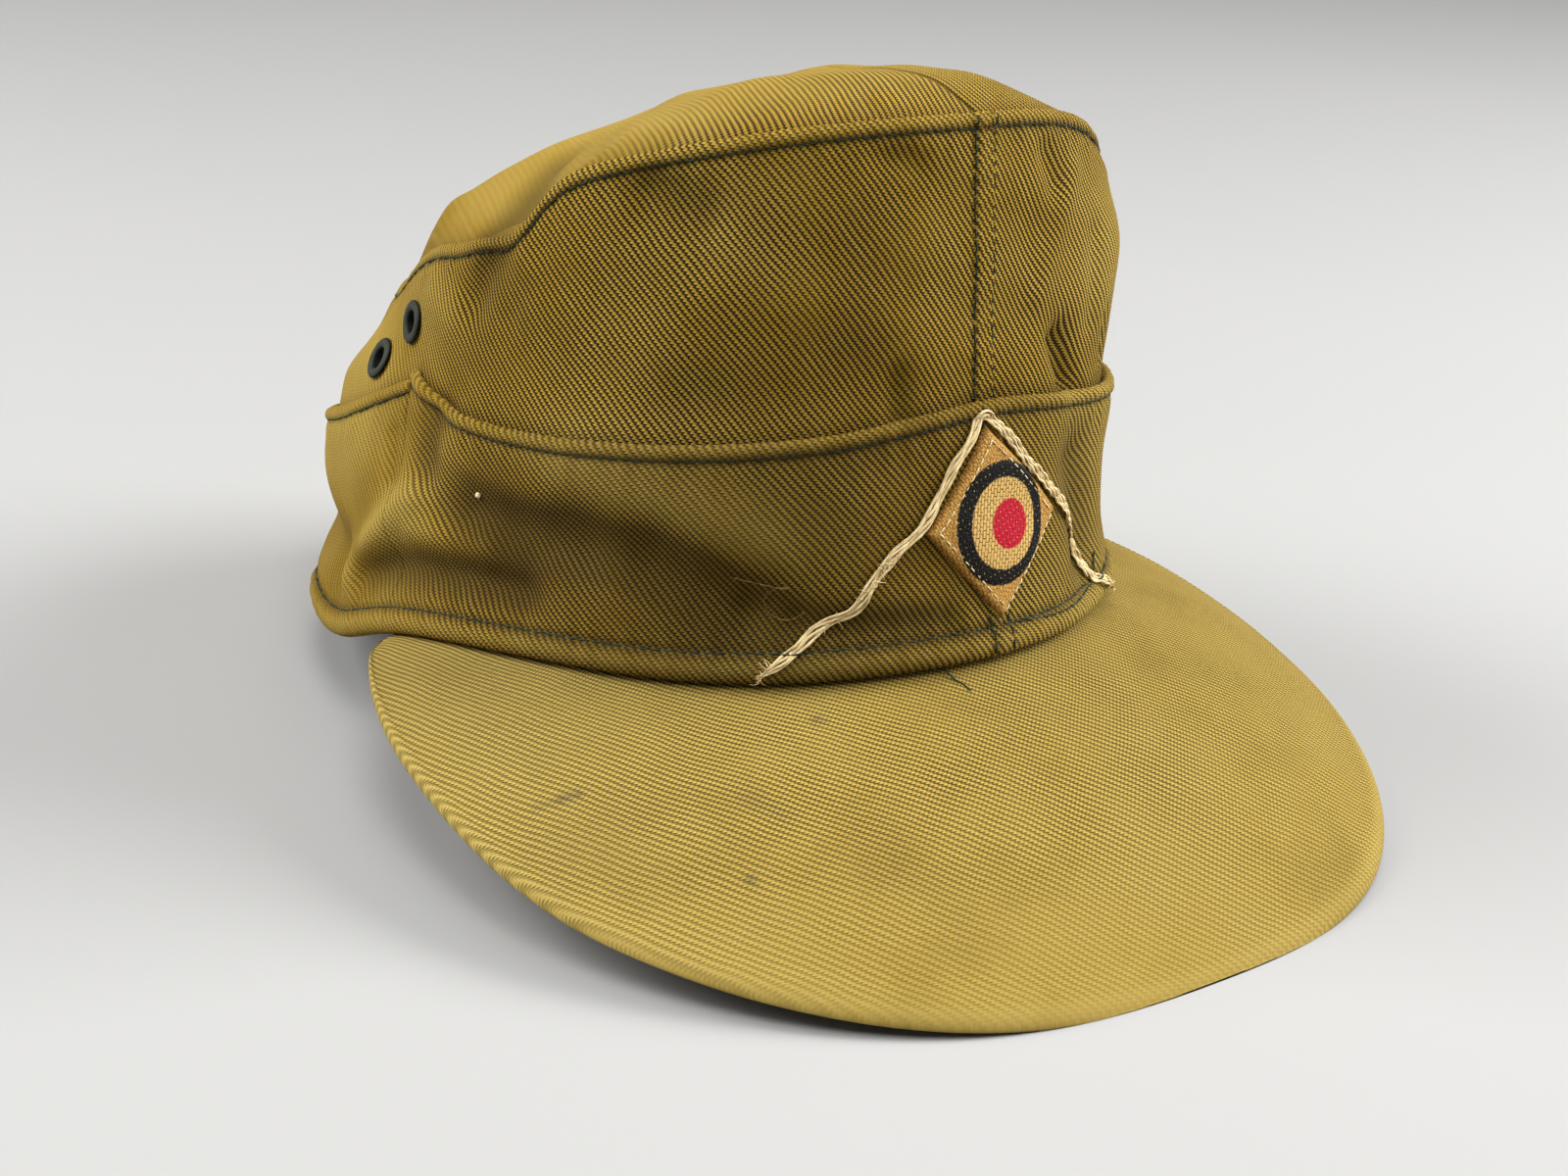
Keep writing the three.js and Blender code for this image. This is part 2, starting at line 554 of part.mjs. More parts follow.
// Eyelet turned about +Y: a domed flange outside, a barrel through the cloth and a rolled lip inside
function eyeletSolid() {
  const inside = -CLOTH - 2 * EYELET.seat;
  const profile = [
    [EYELET.hole, EYELET.seat + EYELET_HEIGHT.mouth],
    [EYELET.hole, inside - EYELET_HEIGHT.lip],
    [EYELET.lip, inside - EYELET_HEIGHT.lip],
    [EYELET.lip, inside],
    [EYELET.barrel, inside],
    [EYELET.barrel, EYELET.seat],
    [EYELET.outer, EYELET.seat],
    [EYELET.crest, EYELET.seat + EYELET_HEIGHT.dome],
  ];
  const points = [...profile, profile[0]].map(([radius, y]) => new THREE.Vector2(radius, y));
  return outward(merged(new THREE.LatheGeometry(points, EYELET.sides)));
}

// The same triangles with shared corners merged, so that the solid is closed
function merged(geometry) {
  geometry.deleteAttribute('normal');
  geometry.deleteAttribute('uv');
  return mergeVertices(geometry, MERGE_DISTANCE);
}

const wasm = await Module();
wasm.setup();

function toManifold(geometry) {
  const vertProperties = Float32Array.from(geometry.attributes.position.array);
  const triVerts = Uint32Array.from(geometry.index.array);
  return new wasm.Manifold(new wasm.Mesh({ numProp: 3, vertProperties, triVerts }));
}

// Wall with the eyelet holes of its side cut through
function piercedWall(side) {
  let solid = toManifold(wallSolid(side > 0 ? WALL_TURNS : onLeft(WALL_TURNS)));
  for (const place of EYELET_PLACES) {
    if (Math.sign(place.turn) !== side) continue;
    const { middle, spin } = eyeletSeat(place);
    const drill = merged(new THREE.CylinderGeometry(EYELET.cut, EYELET.cut, DRILL_LENGTH, EYELET.sides));
    drill.applyQuaternion(spin);
    drill.translate(middle.x, middle.y, middle.z);
    solid = solid.subtract(toManifold(outward(drill)));
  }
  const mesh = solid.getMesh();
  const geometry = new THREE.BufferGeometry();
  geometry.setAttribute('position', new THREE.BufferAttribute(mesh.vertProperties, 3));
  geometry.setIndex(new THREE.BufferAttribute(mesh.triVerts, 1));
  geometry.computeVertexNormals();
  return geometry;
}

const cap = new THREE.Group();
cap.rotation.x = -REST_TILT;
cap.position.set(0, REST_SHIFT, REST_HEIGHT);

function addPiece(name, geometry, look) {
  const mesh = new THREE.Mesh(geometry, new THREE.MeshStandardMaterial(look));
  mesh.name = name;
  cap.add(mesh);
  return mesh;
}

addPiece('crown_top_right', topSolid(1), TWILL);
addPiece('crown_top_left', topSolid(-1), TWILL);
addPiece('crown_side_right', piercedWall(1), TWILL);
addPiece('crown_side_left', piercedWall(-1), TWILL);
addPiece('flap_front_right', flapSolid(FLAP_FRONT_TURNS, FLAP_FRONT_EDGE), TWILL);
addPiece('flap_front_left', flapSolid(onLeft(FLAP_FRONT_TURNS), FLAP_FRONT_EDGE), TWILL);
addPiece('flap_rear', flapSolid(FLAP_REAR_TURNS, FLAP_REAR_EDGE), TWILL);
addPiece('visor', visorSolid(), { ...TWILL, color: COLOURS.visorTwill });
addPiece('cockade_patch', patchSolid(), { color: COLOURS.patch, roughness: 0.85, metalness: 0 });
addPiece('soutache_braid', braidSolid(), { color: COLOURS.braid, roughness: 0.7, metalness: 0 });
for (const place of EYELET_PLACES) {
  const eyelet = addPiece(place.name, eyeletSolid(), EYELET_METAL);
  const { middle, spin } = eyeletSeat(place);
  eyelet.position.copy(middle);
  eyelet.quaternion.copy(spin);
}

const group = new THREE.Group();
group.add(cap);

export default group;
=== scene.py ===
"""Looks of the tropical field cap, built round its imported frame.

Every surface is worked out in millimetres in the cap's own frame, whose XY plane is the plane of the rim:
front toward -Y, wearer's right toward -X. "turn" is the angle round the crown in degrees, 0 at the front and
positive toward the wearer's right, and "height" is measured up the wall from the rim. to_world() tips a
surface into the resting pose and gives metres.
"""
import logging
from dataclasses import dataclass
from enum import Enum
from typing import Any, Sequence

import bpy
import numpy as np
from mathutils import Matrix, Vector

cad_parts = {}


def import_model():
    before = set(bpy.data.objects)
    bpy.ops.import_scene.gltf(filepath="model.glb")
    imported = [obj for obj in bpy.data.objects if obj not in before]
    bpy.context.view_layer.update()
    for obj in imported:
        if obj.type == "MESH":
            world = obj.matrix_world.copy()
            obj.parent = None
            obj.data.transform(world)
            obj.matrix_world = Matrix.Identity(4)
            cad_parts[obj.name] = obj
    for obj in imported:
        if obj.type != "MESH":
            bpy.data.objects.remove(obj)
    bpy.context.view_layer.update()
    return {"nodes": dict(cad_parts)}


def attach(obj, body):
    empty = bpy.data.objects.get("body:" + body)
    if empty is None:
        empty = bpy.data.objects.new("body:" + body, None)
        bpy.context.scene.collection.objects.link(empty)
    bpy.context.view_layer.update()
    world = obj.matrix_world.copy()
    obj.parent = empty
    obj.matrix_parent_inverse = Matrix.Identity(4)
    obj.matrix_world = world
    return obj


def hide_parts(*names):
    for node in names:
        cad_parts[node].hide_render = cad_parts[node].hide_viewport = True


Array = np.ndarray
Curve = tuple[np.ndarray, np.ndarray]
Inputs = dict[int | str, Any]
Pair = tuple[float, float]
Material = bpy.types.Material
Socket = bpy.types.NodeSocket
Tree = bpy.types.NodeTree
LOG = logging.getLogger("field_cap")
MM = 0.001


class Side(Enum):
    """Side of the cap, as the wearer has it, with the sign of its turns."""

    RIGHT = 1
    LEFT = -1


class TurnTable:
    """Short table of sizes by turn, read as smooth curves that are level at the front and the back."""

    def __init__(self, turn: Sequence[float], **columns: Sequence[float]) -> None:
        """Keeps the turns of the rows and the named columns.

        Args:
            turn: Turn of each row, in degrees, rising.
            columns: Values of each named column, in mm.
        """
        self.turn = np.array(turn, float)
        self.columns = {name: np.array(values, float) for name, values in columns.items()}

    def at(self, column: str, turn: Array) -> Array:
        """Reads one column: a cubic between two rows, with the slope between its neighbours at each row.

        Args:
            column: Name of the column.
            turn: Turns from 0 to 180.

        Returns:
            The column's values at those turns.
        """
        rows = self.turn
        values = self.columns[column]
        slopes = np.gradient(values, rows)
        slopes[1:-1] = (values[2:] - values[:-2]) / (rows[2:] - rows[:-2])
        slopes[(rows == 0) | (rows == 180)] = 0
        x = np.clip(turn, rows[0], rows[-1])
        i = np.clip(np.searchsorted(rows, x) - 1, 0, len(rows) - 2)
        span = rows[i + 1] - rows[i]
        u = (x - rows[i]) / span
        ease = u * u * (3 - 2 * u)
        bend = span * u * (1 - u) * ((1 - u) * slopes[i] - u * slopes[i + 1])
        return values[i] + (values[i + 1] - values[i]) * ease + bend


@dataclass(frozen=True)
class Fold:
    """A long dent (depth below 0) or ridge (above 0) along a line. Reach is height, or a share."""

    turn_a: float
    reach_a: float
    turn_b: float
    reach_b: float
    width: float
    depth: float


@dataclass(frozen=True)
class Band:
    """An amount that dies out on both sides of a place as a bell curve."""

    amount: float
    spread: float
    at: float = 0.0

    def over(self, x: Array) -> Array:
        """The amount at each x."""
        return self.amount * bell(x - self.at, self.spread)


@dataclass(frozen=True)
class Ramp:
    """An amount that rises smoothly from 0 at its start to the whole at its end."""

    start: float
    end: float
    amount: float = 1.0

    def over(self, x: Array) -> Array:
        """The amount at each x."""
        return self.amount * smoothstep(x, self.start, self.end)


@dataclass(frozen=True)
class Welt:
    """A padded seam: its width, how far it puffs out, and the depth and spread of the groove beside it."""

    width: float
    puff: float
    groove: float
    spread: float


@dataclass(frozen=True)
class Wave:
    """A sine wave in cloth: radians per mm along and up it, its start, and how far a slow wave bends it."""

    along: float
    up: float
    start: float
    bend: float = 0.0


# Rim, cloth and clearances, as in the part's source
RIM_HALF_LENGTH = 101.0
RIM_HALF_WIDTH = 84.0
RIM_SIDE_LIFT = 7.5
RIM_SAGS = (Band(5.7, 14.5, 106.5), Band(2.1, 23, 41.5))
CLOTH = 1.4
FLAP_CLOTH = 1.9
WALL_INSET = 2.2
WALL_FOOT = 0.8
PANEL_GAP = 0.3
TRIM_GAP = 0.4
MM_PER_DEGREE = np.radians((RIM_HALF_LENGTH + RIM_HALF_WIDTH) / 2)

# Resting pose
REST_TILT = np.radians(12.5)
REST_HEIGHT = 21.3
REST_SHIFT = 33.2

# Steps along a grid to the corners of a quad
QUAD_CORNERS = ((0, 0), (-1, 0), (-1, -1), (0, -1))

TOP_SEAM = TurnTable(
    (0, 30, 60, 90, 120, 150, 180),
    inset=(-4.5, -4.5, 2.5, 17.5, 24, 20.5, 21.5),
    height=(107.6, 106.6, 99.8, 85.6, 74.5, 73.5, 73),
    swell=(-1, 1.5, 0.5, -1.5, 0, -1, -1.5),
)
LEAN_POWER = 1.5
SEAM_STIFFNESS = 7.0
FLAP_CORNER = 89.2
FLAP_FRONT_EDGE = TurnTable((0, 25, 50, 75, FLAP_CORNER), height=(50.8, 47.6, 47, 49.5, 57.9))
FLAP_REAR_EDGE = TurnTable((FLAP_CORNER, 130, 180), height=(55.9, 44.5, 42.5))
VISOR_EDGE = TurnTable(
    (0, 22, 45, 65, 82, 89),
    reach=(157.5, 158.5, 144, 119.5, 97, 86),
    drop=(57.8, 52.3, 35, 12.7, -1.7, -2.4),
)
RIB = Welt(3.0, 0.8, 0.3, 1.1)
EDGE_WELT = Welt(2.7, 0.7, 0.2, 1.2)
RIM_ROLL = Welt(5.2, 1.3, 0.2, 1.4)
RIM_ROLL_FOOT = -0.6

# The felled seam at the front: a raised strip with rounded edges
FELL_HALF_WIDTH = 2.4
FELL_RAISE = 0.5
FELL_EDGE = Ramp(-0.5, 0.4)
# Under the lap the cloth thins to this, over this stretch across the seam
LAP_CLOTH = 0.1
LAP_STRETCH = Ramp(-0.5, 1.5)

# Uneven cloth, and the gathers beside a row of stitches, in radians per mm
CLOTH_WAVES = (Wave(0.21, 0, 0, 1.4), Wave(-0.11, 0.33, 0.7), Wave(0.13, 0.15, 2.1))
SLOW_WAVE = 0.09
WALL_WAVES = 0.45
WALL_WAVES_START = Ramp(4, 14)
LONG_RIPPLE = 0.86
SHORT_RIPPLE = 1.53
RIPPLE_DRIFT = 0.2

WALL_FOLDS = (
    Fold(73, 27, 57, 25, 8.5, -4.2),
    Fold(47, 23, 37, 15, 8.5, -4.4),
    Fold(56, 42, 34, 27, 9, 2),
    Fold(97, 14, 66, 13, 5, -3.6),
    Fold(101, 13, 85, 31, 5, 2.8),
    Fold(84, 23, 72, 22, 4.5, 1.6),
    Fold(81, 48, 83, 36, 4.5, -2.4),
    Fold(108, 17, 140, 21, 8, -4),
    Fold(-42, 26, -66, 26, 13, -5.5),
    Fold(-88, 30, -130, 20, 9, -2.5),
    Fold(-32, 76, -60, 70, 17, 4),
    Fold(106, 49, 140, 43, 16, 4.2),
    Fold(110, 60, 130, 54, 7, 2.2),
    Fold(44, 98, 38, 92, 5, -2.4),
    Fold(40, 56, 18, 55, 9, -1.6),
    Fold(68, 88, 74, 75, 5, -2.6),
    Fold(86, 75, 80, 71, 6, 1.6),
    Fold(-16, 60, -19, 51, 4.5, -2.4),
    Fold(-20, 33, -23, 13, 10, -2.2),
)
# Shallow creases that the solids leave out
WALL_CREASES = (
    Fold(-20, 33, -23, 13, 5.5, -2.2),
    Fold(-16.3, 60, -19.3, 51, 2.4, -1.2),
    Fold(-31, 62, -33, 52, 2.8, -1.6),
    Fold(-12.5, 98, -14.5, 92, 3.2, -1.5),
    Fold(-19, 94, -11, 70, 3.4, 0.9),
    Fold(-24, 80, -24, 62, 3, -0.8),
    Fold(15, 100.5, 11, 99, 3, -1.5),
    Fold(14.4, 57.5, 14.6, 51, 2.8, -1.3),
    Fold(45, 91, 39, 82, 4.5, -1),
    Fold(66, 87, 62, 82, 4, 1),
    Fold(60, 84, 66, 72, 3.5, -0.6),
    Fold(92, 44, 91, 34, 2.2, -0.9),
    Fold(80, 42, 62, 33, 4, 0.5),
    Fold(60, 20, 40, 9, 3, 0.5),
    Fold(35, 13.5, 31, 11.5, 4, -1.3),
    Fold(29, 11, 9, 8.5, 3.5, -1.5),
)
SEAM_DIPS = (Band(6.2, 6.5, 64.8), Band(5.0, 10.4, 74.8), Band(8.5, 20, -44))
TOP_FOLDS = (
    Fold(57, 0.87, 71, 0.85, 7, -8),
    Fold(50, 0.62, 40, 0.45, 14, -3.2),
    Fold(98, 0.88, 130, 0.75, 17, 5.5),
    Fold(96, 0.95, 122, 0.94, 5, 8),
    Fold(8, 0.85, -10, 0.8, 10, 2),
    Fold(-70, 1, -80, 0.6, 10, -3),
)
# The crease that the kink in the seam sends over the top, which the solids leave out
TOP_CREASES = (Fold(73.5, 0.97, 75.5, 0.68, 5, -3),)


def side_turn(turn: Array) -> Array:
    """Brings turns into 0 to 180, because the tables serve both sides."""
    around = np.abs(turn) % 360
    return np.where(around > 180, 360 - around, around)


def signed_turn(turn: Array) -> Array:
    """Brings turns into -180 to 180."""
    return np.where(turn > 180, turn - 360, turn)


def smoothstep(x: Array, start: float, end: float) -> Array:
    """Smooth rise from 0 at start to 1 at end: 3u^2 - 2u^3."""
    u = np.clip((x - start) / (end - start), 0, 1)
    return u * u * (3 - 2 * u)


def bell(x: Array, width: float) -> Array:
    """Bell curve exp(-(x / width)^2)."""
    return np.exp(-((x / width) ** 2))


def line_bell(x: Array, y: Array, a: Sequence[float], b: Sequence[float], width: float) -> Array:
    """Bell curve of the distance to the line from a to b.

    Args:
        x: First coordinates of the points.
        y: Second coordinates of the points.
        a: Start of the line.
        b: End of the line.
        width: Distance at which the bell has fallen to 1/e.

    Returns:
        1 on the line, falling to 0 away from it.
    """
    dx = b[0] - a[0]
    dy = b[1] - a[1]
    along = np.clip(((x - a[0]) * dx + (y - a[1]) * dy) / (dx * dx + dy * dy), 0, 1)
    return bell(np.hypot(x - a[0] - along * dx, y - a[1] - along * dy), width)


def by_turn(bands: Sequence[Band], turn: Array) -> Array:
    """Sum of the bands' amounts at each turn."""
    return sum(band.over(signed_turn(turn)) for band in bands)


def seam_height(turn: Array) -> Array:
    """Height of the top seam: its table less its dips."""
    return TOP_SEAM.at("height", side_turn(turn)) - by_turn(SEAM_DIPS, turn)


def rim_rise(turn: Array) -> Array:
    """Height of the rim above its own plane: lifted by sin^2 at the sides, less its sags."""
    return RIM_SIDE_LIFT * np.sin(np.radians(turn)) ** 2 - by_turn(RIM_SAGS, turn)


def flap_height(turn: Array) -> Array:
    """Height of the flap's upper edge: the front pieces' as far as their corner, then the rear piece's."""
    front, rear = (edge.at("height", side_turn(turn)) for edge in (FLAP_FRONT_EDGE, FLAP_REAR_EDGE))
    return np.where(side_turn(turn) <= FLAP_CORNER, front, rear)


def fold_depth(folds: Sequence[Fold], turn: Array, height: Array) -> Array:
    """Sum of the wall's folds, each a bell curve across its line.

    Args:
        folds: The folds.
        turn: Turns in degrees.
        height: Heights in mm.

    Returns:
        Distances outward in mm, below 0 in a dent.
    """
    x = signed_turn(turn) * MM_PER_DEGREE
    depth = np.zeros(np.broadcast(turn, height).shape)
    for fold in folds:
        a = (fold.turn_a * MM_PER_DEGREE, fold.reach_a)
        b = (fold.turn_b * MM_PER_DEGREE, fold.reach_b)
        depth += fold.depth * line_bell(x, height, a, b, fold.width)
    return depth


def unevenness(x: Array, y: Array, depth: float) -> Array:
    """Waviness of hand-sewn cloth: the mean of sine waves 18 to 32 mm long that cross at odd angles."""
    waves = [np.sin(x * w.along + y * w.up + w.start + w.bend * np.sin(y * SLOW_WAVE)) for w in CLOTH_WAVES]
    return depth * sum(waves) / len(waves)


def pucker(along: Array, away: Array, depth: float, reach: float) -> Array:
    """Gathers beside stitches: ripples about 7 and 4 mm long along the row that die out away from it."""
    long = np.sin(along * LONG_RIPPLE + 1.3 * np.sin(along * RIPPLE_DRIFT))
    return depth * (long + 0.6 * np.sin(along * SHORT_RIPPLE + 0.8)) * bell(away, reach)


def crown_point(turn: Array, height: Array, offset: Array) -> Array:
    """Points on the crown. The rim's oval is moved along its plan normal by the offset, less a lean that
    grows with a power of the height, plus a sine swell and the folds, which die out at the stiff top seam.

    Args:
        turn: Turns in degrees.
        height: Heights in mm.
        offset: Distance outward from the flap's plain skin, in mm.

    Returns:
        Points in mm, with a last axis of 3.
    """
    given = (np.asarray(values, float) for values in (turn, height, offset))
    turn, height, offset = np.broadcast_arrays(*given)
    t = np.radians(turn)
    side = side_turn(turn)
    w = height / seam_height(turn)
    rise = np.maximum(w, 0)
    lean = TOP_SEAM.at("inset", side) * rise**LEAN_POWER
    swell = TOP_SEAM.at("swell", side) * np.sin(np.pi * rise)
    shape = fold_depth(WALL_FOLDS, turn, height) + fold_depth(WALL_CREASES, turn, height)
    waves = unevenness(signed_turn(turn) * MM_PER_DEGREE, height, WALL_WAVES)
    shape += waves * WALL_WAVES_START.over(height)
    shape *= smoothstep(seam_height(turn) - height, 0, SEAM_STIFFNESS)
    normal_x = -np.sin(t) / RIM_HALF_WIDTH
    normal_y = -np.cos(t) / RIM_HALF_LENGTH
    push = (offset - lean + swell + shape) / np.hypot(normal_x, normal_y)
    x = -RIM_HALF_WIDTH * np.sin(t) + normal_x * push
    y = -RIM_HALF_LENGTH * np.cos(t) + normal_y * push
    return np.stack([x, y, rim_rise(turn) * (1 - w) + height], -1)


def half_round(share: Array) -> Array:
    """Half circle over shares from 0 to 1: sqrt(1 - (2 share - 1)^2)."""
    return np.sqrt(1 - (2 * np.clip(share, 0, 1) - 1) ** 2)


def flap_puff(height: Array, edge: Array) -> Array:
    """How far the flap's skin stands out: half-round over the rim's roll and over the welt of its upper edge,
    with a groove beside each.

    Args:
        height: Heights in mm.
        edge: Height of the flap's upper edge there.

    Returns:
        Distances outward in mm.
    """
    roll = RIM_ROLL.puff * half_round((height - RIM_ROLL_FOOT) / (RIM_ROLL.width - RIM_ROLL_FOOT))
    welt = EDGE_WELT.puff * half_round((edge - height) / EDGE_WELT.width)
    roll = roll - RIM_ROLL.groove * bell(height - RIM_ROLL.width, RIM_ROLL.spread)
    return roll + welt - EDGE_WELT.groove * bell(edge - height - EDGE_WELT.width, EDGE_WELT.spread)


def fell_strip(across: Array) -> Array:
    """Share that is 1 on the strip of the felled seam and 0 beside it, with rounded edges."""
    return FELL_EDGE.over(FELL_HALF_WIDTH - np.abs(across))


def inner_offset(cloth: float, across: Array, laps: bool) -> Array:
    """Offset of a piece's inner skin: its cloth, which thins toward an edge that laps over a neighbour."""
    layer = LAP_STRETCH.over(across) if laps else 1.0
    return LAP_CLOTH - (cloth + LAP_CLOTH) * layer


def to_world(points: Array) -> Array:
    """Tips points of the cap's frame into the resting pose and presses what would go under the floor onto it.

    Args:
        points: Points in mm.

    Returns:
        Points in metres.
    """
    x, y, z = np.moveaxis(np.asarray(points, float), -1, 0)
    back = y * np.cos(REST_TILT) + z * np.sin(REST_TILT) + REST_SHIFT
    up = -y * np.sin(REST_TILT) + z * np.cos(REST_TILT) + REST_HEIGHT
    return np.stack([x, back, np.maximum(up, 0)], -1) * MM


def weave(across: Array, up: Array, angle: float) -> Array:
    """Cloth coordinates in mm: first across the twill ribs, then along them.

    Args:
        across: Distance over the panel toward the wearer's left.
        up: Distance up the panel.
        angle: How steeply the ribs fall toward the wearer's left, in degrees.

    Returns:
        Vectors whose third part is 0.
    """
    across, up = np.broadcast_arrays(across, up)
    a = np.radians(angle)
    over = across * np.sin(a) + up * np.cos(a)
    return np.stack([over, across * np.cos(a) - up * np.sin(a), np.zeros(over.shape)], -1)


def steps_along(points: Array) -> Array:
    """Distance along a line of points, from 0 at its first."""
    return np.concatenate([[0], np.cumsum(np.linalg.norm(np.diff(points, axis=0), axis=1))])


@dataclass
class Sheet:
    """One layer of cloth: matched grids of outer and inner points in mm, and what the finish reads there."""

    outer: Array
    inner: Array
    weave_mm: Array
    # The next mark carries real rubbing and also painted highlights; the one after it carries painted shade.
    wear_and_highlight: Array
    painted_shade: Array
    crisp: Array
    keep: Array | None = None

    def faces(self) -> Array:
        """Quads of both grids, and of the walls that join them along every open edge, holes included.

        Returns:
            Point numbers of each quad, the inner grid's counted after the outer grid's.
        """
        columns, rows = self.outer.shape[:2]
        index = np.arange(columns * rows).reshape(columns, rows)
        quads = np.stack([index[:-1, :-1], index[1:, :-1], index[1:, 1:], index[:-1, 1:]], -1)
        quads = quads.reshape(-1, 4) if self.keep is None else quads[self.keep]
        edges = np.concatenate([quads[:, [k, (k + 1) % 4]] for k in range(4)])
        forward = edges[:, 0] * index.size + edges[:, 1]
        backward = edges[:, 1] * index.size + edges[:, 0]
        rim = edges[~np.isin(forward, backward)]
        walls = np.stack([rim[:, 1], rim[:, 0], rim[:, 0] + index.size, rim[:, 1] + index.size], -1)
        return np.concatenate([quads, quads[:, ::-1] + index.size, walls])

    def parts(self) -> tuple[Array, Array, dict[str, Array]]:
        """The closed shell, without the points that no face uses.

        Returns:
            Its points, its faces and its point attributes.
        """
        faces = self.faces()
        used, faces = np.unique(faces, return_inverse=True)
        points = np.concatenate([self.outer.reshape(-1, 3), self.inner.reshape(-1, 3)])[used]
        shape = self.outer.shape[:2]
        marks = {"weave_mm": np.broadcast_to(self.weave_mm, (*shape, 3)).reshape(-1, 3)}
        for name, values in (("wear_and_highlight", self.wear_and_highlight), ("painted_shade", self.painted_shade), ("crisp", self.crisp)):
            marks[name] = np.broadcast_to(values, shape).ravel()
        doubled = {name: np.concatenate([values, values])[used] for name, values in marks.items()}
        return points, faces.reshape(-1, 4), doubled


def tube_parts(paths: Array, normals: Array, radii: Array, sides: int) -> tuple[Array, Array]:
    """Closed round threads along many paths at once: a circle carried along each path, with capped ends.

    Args:
        paths: Points of each path, shaped (paths, steps, 3), in mm.
        normals: Directions out of the cloth, of the same shape.
        radii: Radius at each point, shaped (paths, steps) or what broadcasts to it.
        sides: Even number of sides.

    Returns:
        The points and the quads.
    """
    count, steps = paths.shape[:2]
    along = np.gradient(paths, axis=1)
    along /= np.linalg.norm(along, axis=-1, keepdims=True)
    aside = np.cross(normals, along)
    aside /= np.linalg.norm(aside, axis=-1, keepdims=True)
    out = np.cross(along, aside)
    angle = np.arange(sides) * 2 * np.pi / sides
    ring = np.cos(angle)[:, None] * aside[:, :, None] + np.sin(angle)[:, None] * out[:, :, None]
    points = paths[:, :, None] + ring * np.broadcast_to(radii, (count, steps))[:, :, None, None]
    index = np.arange(count * steps * sides).reshape(count, steps, sides)
    after = np.roll(index, -1, axis=2)
    walls = np.stack([index[:, :-1], after[:, :-1], after[:, 1:], index[:, 1:]], -1).reshape(-1, 4)
    fan = np.array([[0, 2 * k + 1, 2 * k + 2, 2 * k + 3] for k in range(sides // 2 - 1)])
    start = index[:, 0][:, fan[:, ::-1]].reshape(-1, 4)
    end = index[:, -1][:, fan].reshape(-1, 4)
    return points.reshape(-1, 3), np.concatenate([walls, start, end])


def ring_faces(first: int, second: int) -> Array:
    """Quads of a grid of points that is closed both ways, as a ring's surface is."""
    index = np.arange(first * second).reshape(first, second)
    return np.stack([np.roll(index, corner, (0, 1)) for corner in QUAD_CORNERS], -1).reshape(-1, 4)


def outward(points: Array, faces: Array) -> Array:
    """Turns all quads over if the closed shape's signed volume is below 0."""
    a, b, c, d = (points[faces[:, k]] for k in range(4))
    return faces if np.sum(a * (np.cross(b, c) + np.cross(c, d))) > 0 else faces[:, ::-1]


def add_piece(
    name: str,
    points: Array,
    faces: Array,
    material: Material,
    nodes: Sequence[str] = (),
    marks: dict[str, Array] | None = None,
) -> bpy.types.Object:
    """Makes one piece of the object from points of the cap's frame, and hands it to the frame.

    Args:
        name: Name of the piece.
        points: Points in mm in the cap's frame.
        faces: Quads.
        material: Its finish.
        nodes: The solids that it stands for.
        marks: Point attributes that the finish reads, numbers or vectors.

    Returns:
        The new object.
    """
    places = to_world(points)
    faces = outward(places, faces)
    mesh = bpy.data.meshes.new(name)
    mesh.vertices.add(len(places))
    mesh.vertices.foreach_set("co", places.astype(np.float32).ravel())
    mesh.loops.add(faces.size)
    mesh.loops.foreach_set("vertex_index", faces.astype(np.int32).ravel())
    mesh.polygons.add(len(faces))
    mesh.polygons.foreach_set("loop_start", np.arange(0, faces.size, 4, dtype=np.int32))
    mesh.polygons.foreach_set("use_smooth", np.ones(len(faces), bool))
    for key, values in (marks or {}).items():
        kind, field = ("FLOAT_VECTOR", "vector") if values.ndim == 2 else ("FLOAT", "value")
        layer = mesh.attributes.new(key, kind, "POINT")
        layer.data.foreach_set(field, values.astype(np.float32).ravel())
    mesh.update(calc_edges=True)
    mesh.validate()
    mesh.materials.append(material)
    piece = bpy.data.objects.new(name, mesh)
    bpy.context.scene.collection.objects.link(piece)
    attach(piece, "root")
    if nodes:
        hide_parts(*nodes)
    LOG.info("%s: %d faces", name, len(faces))
    return piece


# A wave texture's bands repeat every 2 pi / 20 of its scaled coordinate
WAVE = 2 * np.pi / 20
# Sockets of a Mix node that mixes colours
MIX_SHARE, MIX_UNDER, MIX_OVER, MIX_RESULT = 0, 6, 7, 2
# Share of the ribs' colour in cloth whose ribs can't be told apart
MEAN_TONE = 0.55


def linear(colour: str) -> tuple[float, ...]:
    """Turns an sRGB hex colour into linear red, green and blue, with an alpha of 1."""
    parts = np.array([int(colour[k:k + 2], 16) for k in (1, 3, 5)]) / 255
    return (*np.where(parts <= 0.04045, parts / 12.92, ((parts + 0.055) / 1.055) ** 2.4).tolist(), 1.0)


def set_inputs(tree: Tree, node: bpy.types.Node, inputs: Inputs) -> None:
    """Gives each named input of a node its value, or links it to an output.

    Args:
        tree: Tree of the material.
        node: The node.
        inputs: Socket names or numbers, each with a value or an output socket.
    """
    for key, value in inputs.items():
        if isinstance(value, Socket):
            tree.links.new(value, node.inputs[key])
        else:
            node.inputs[key].default_value = value


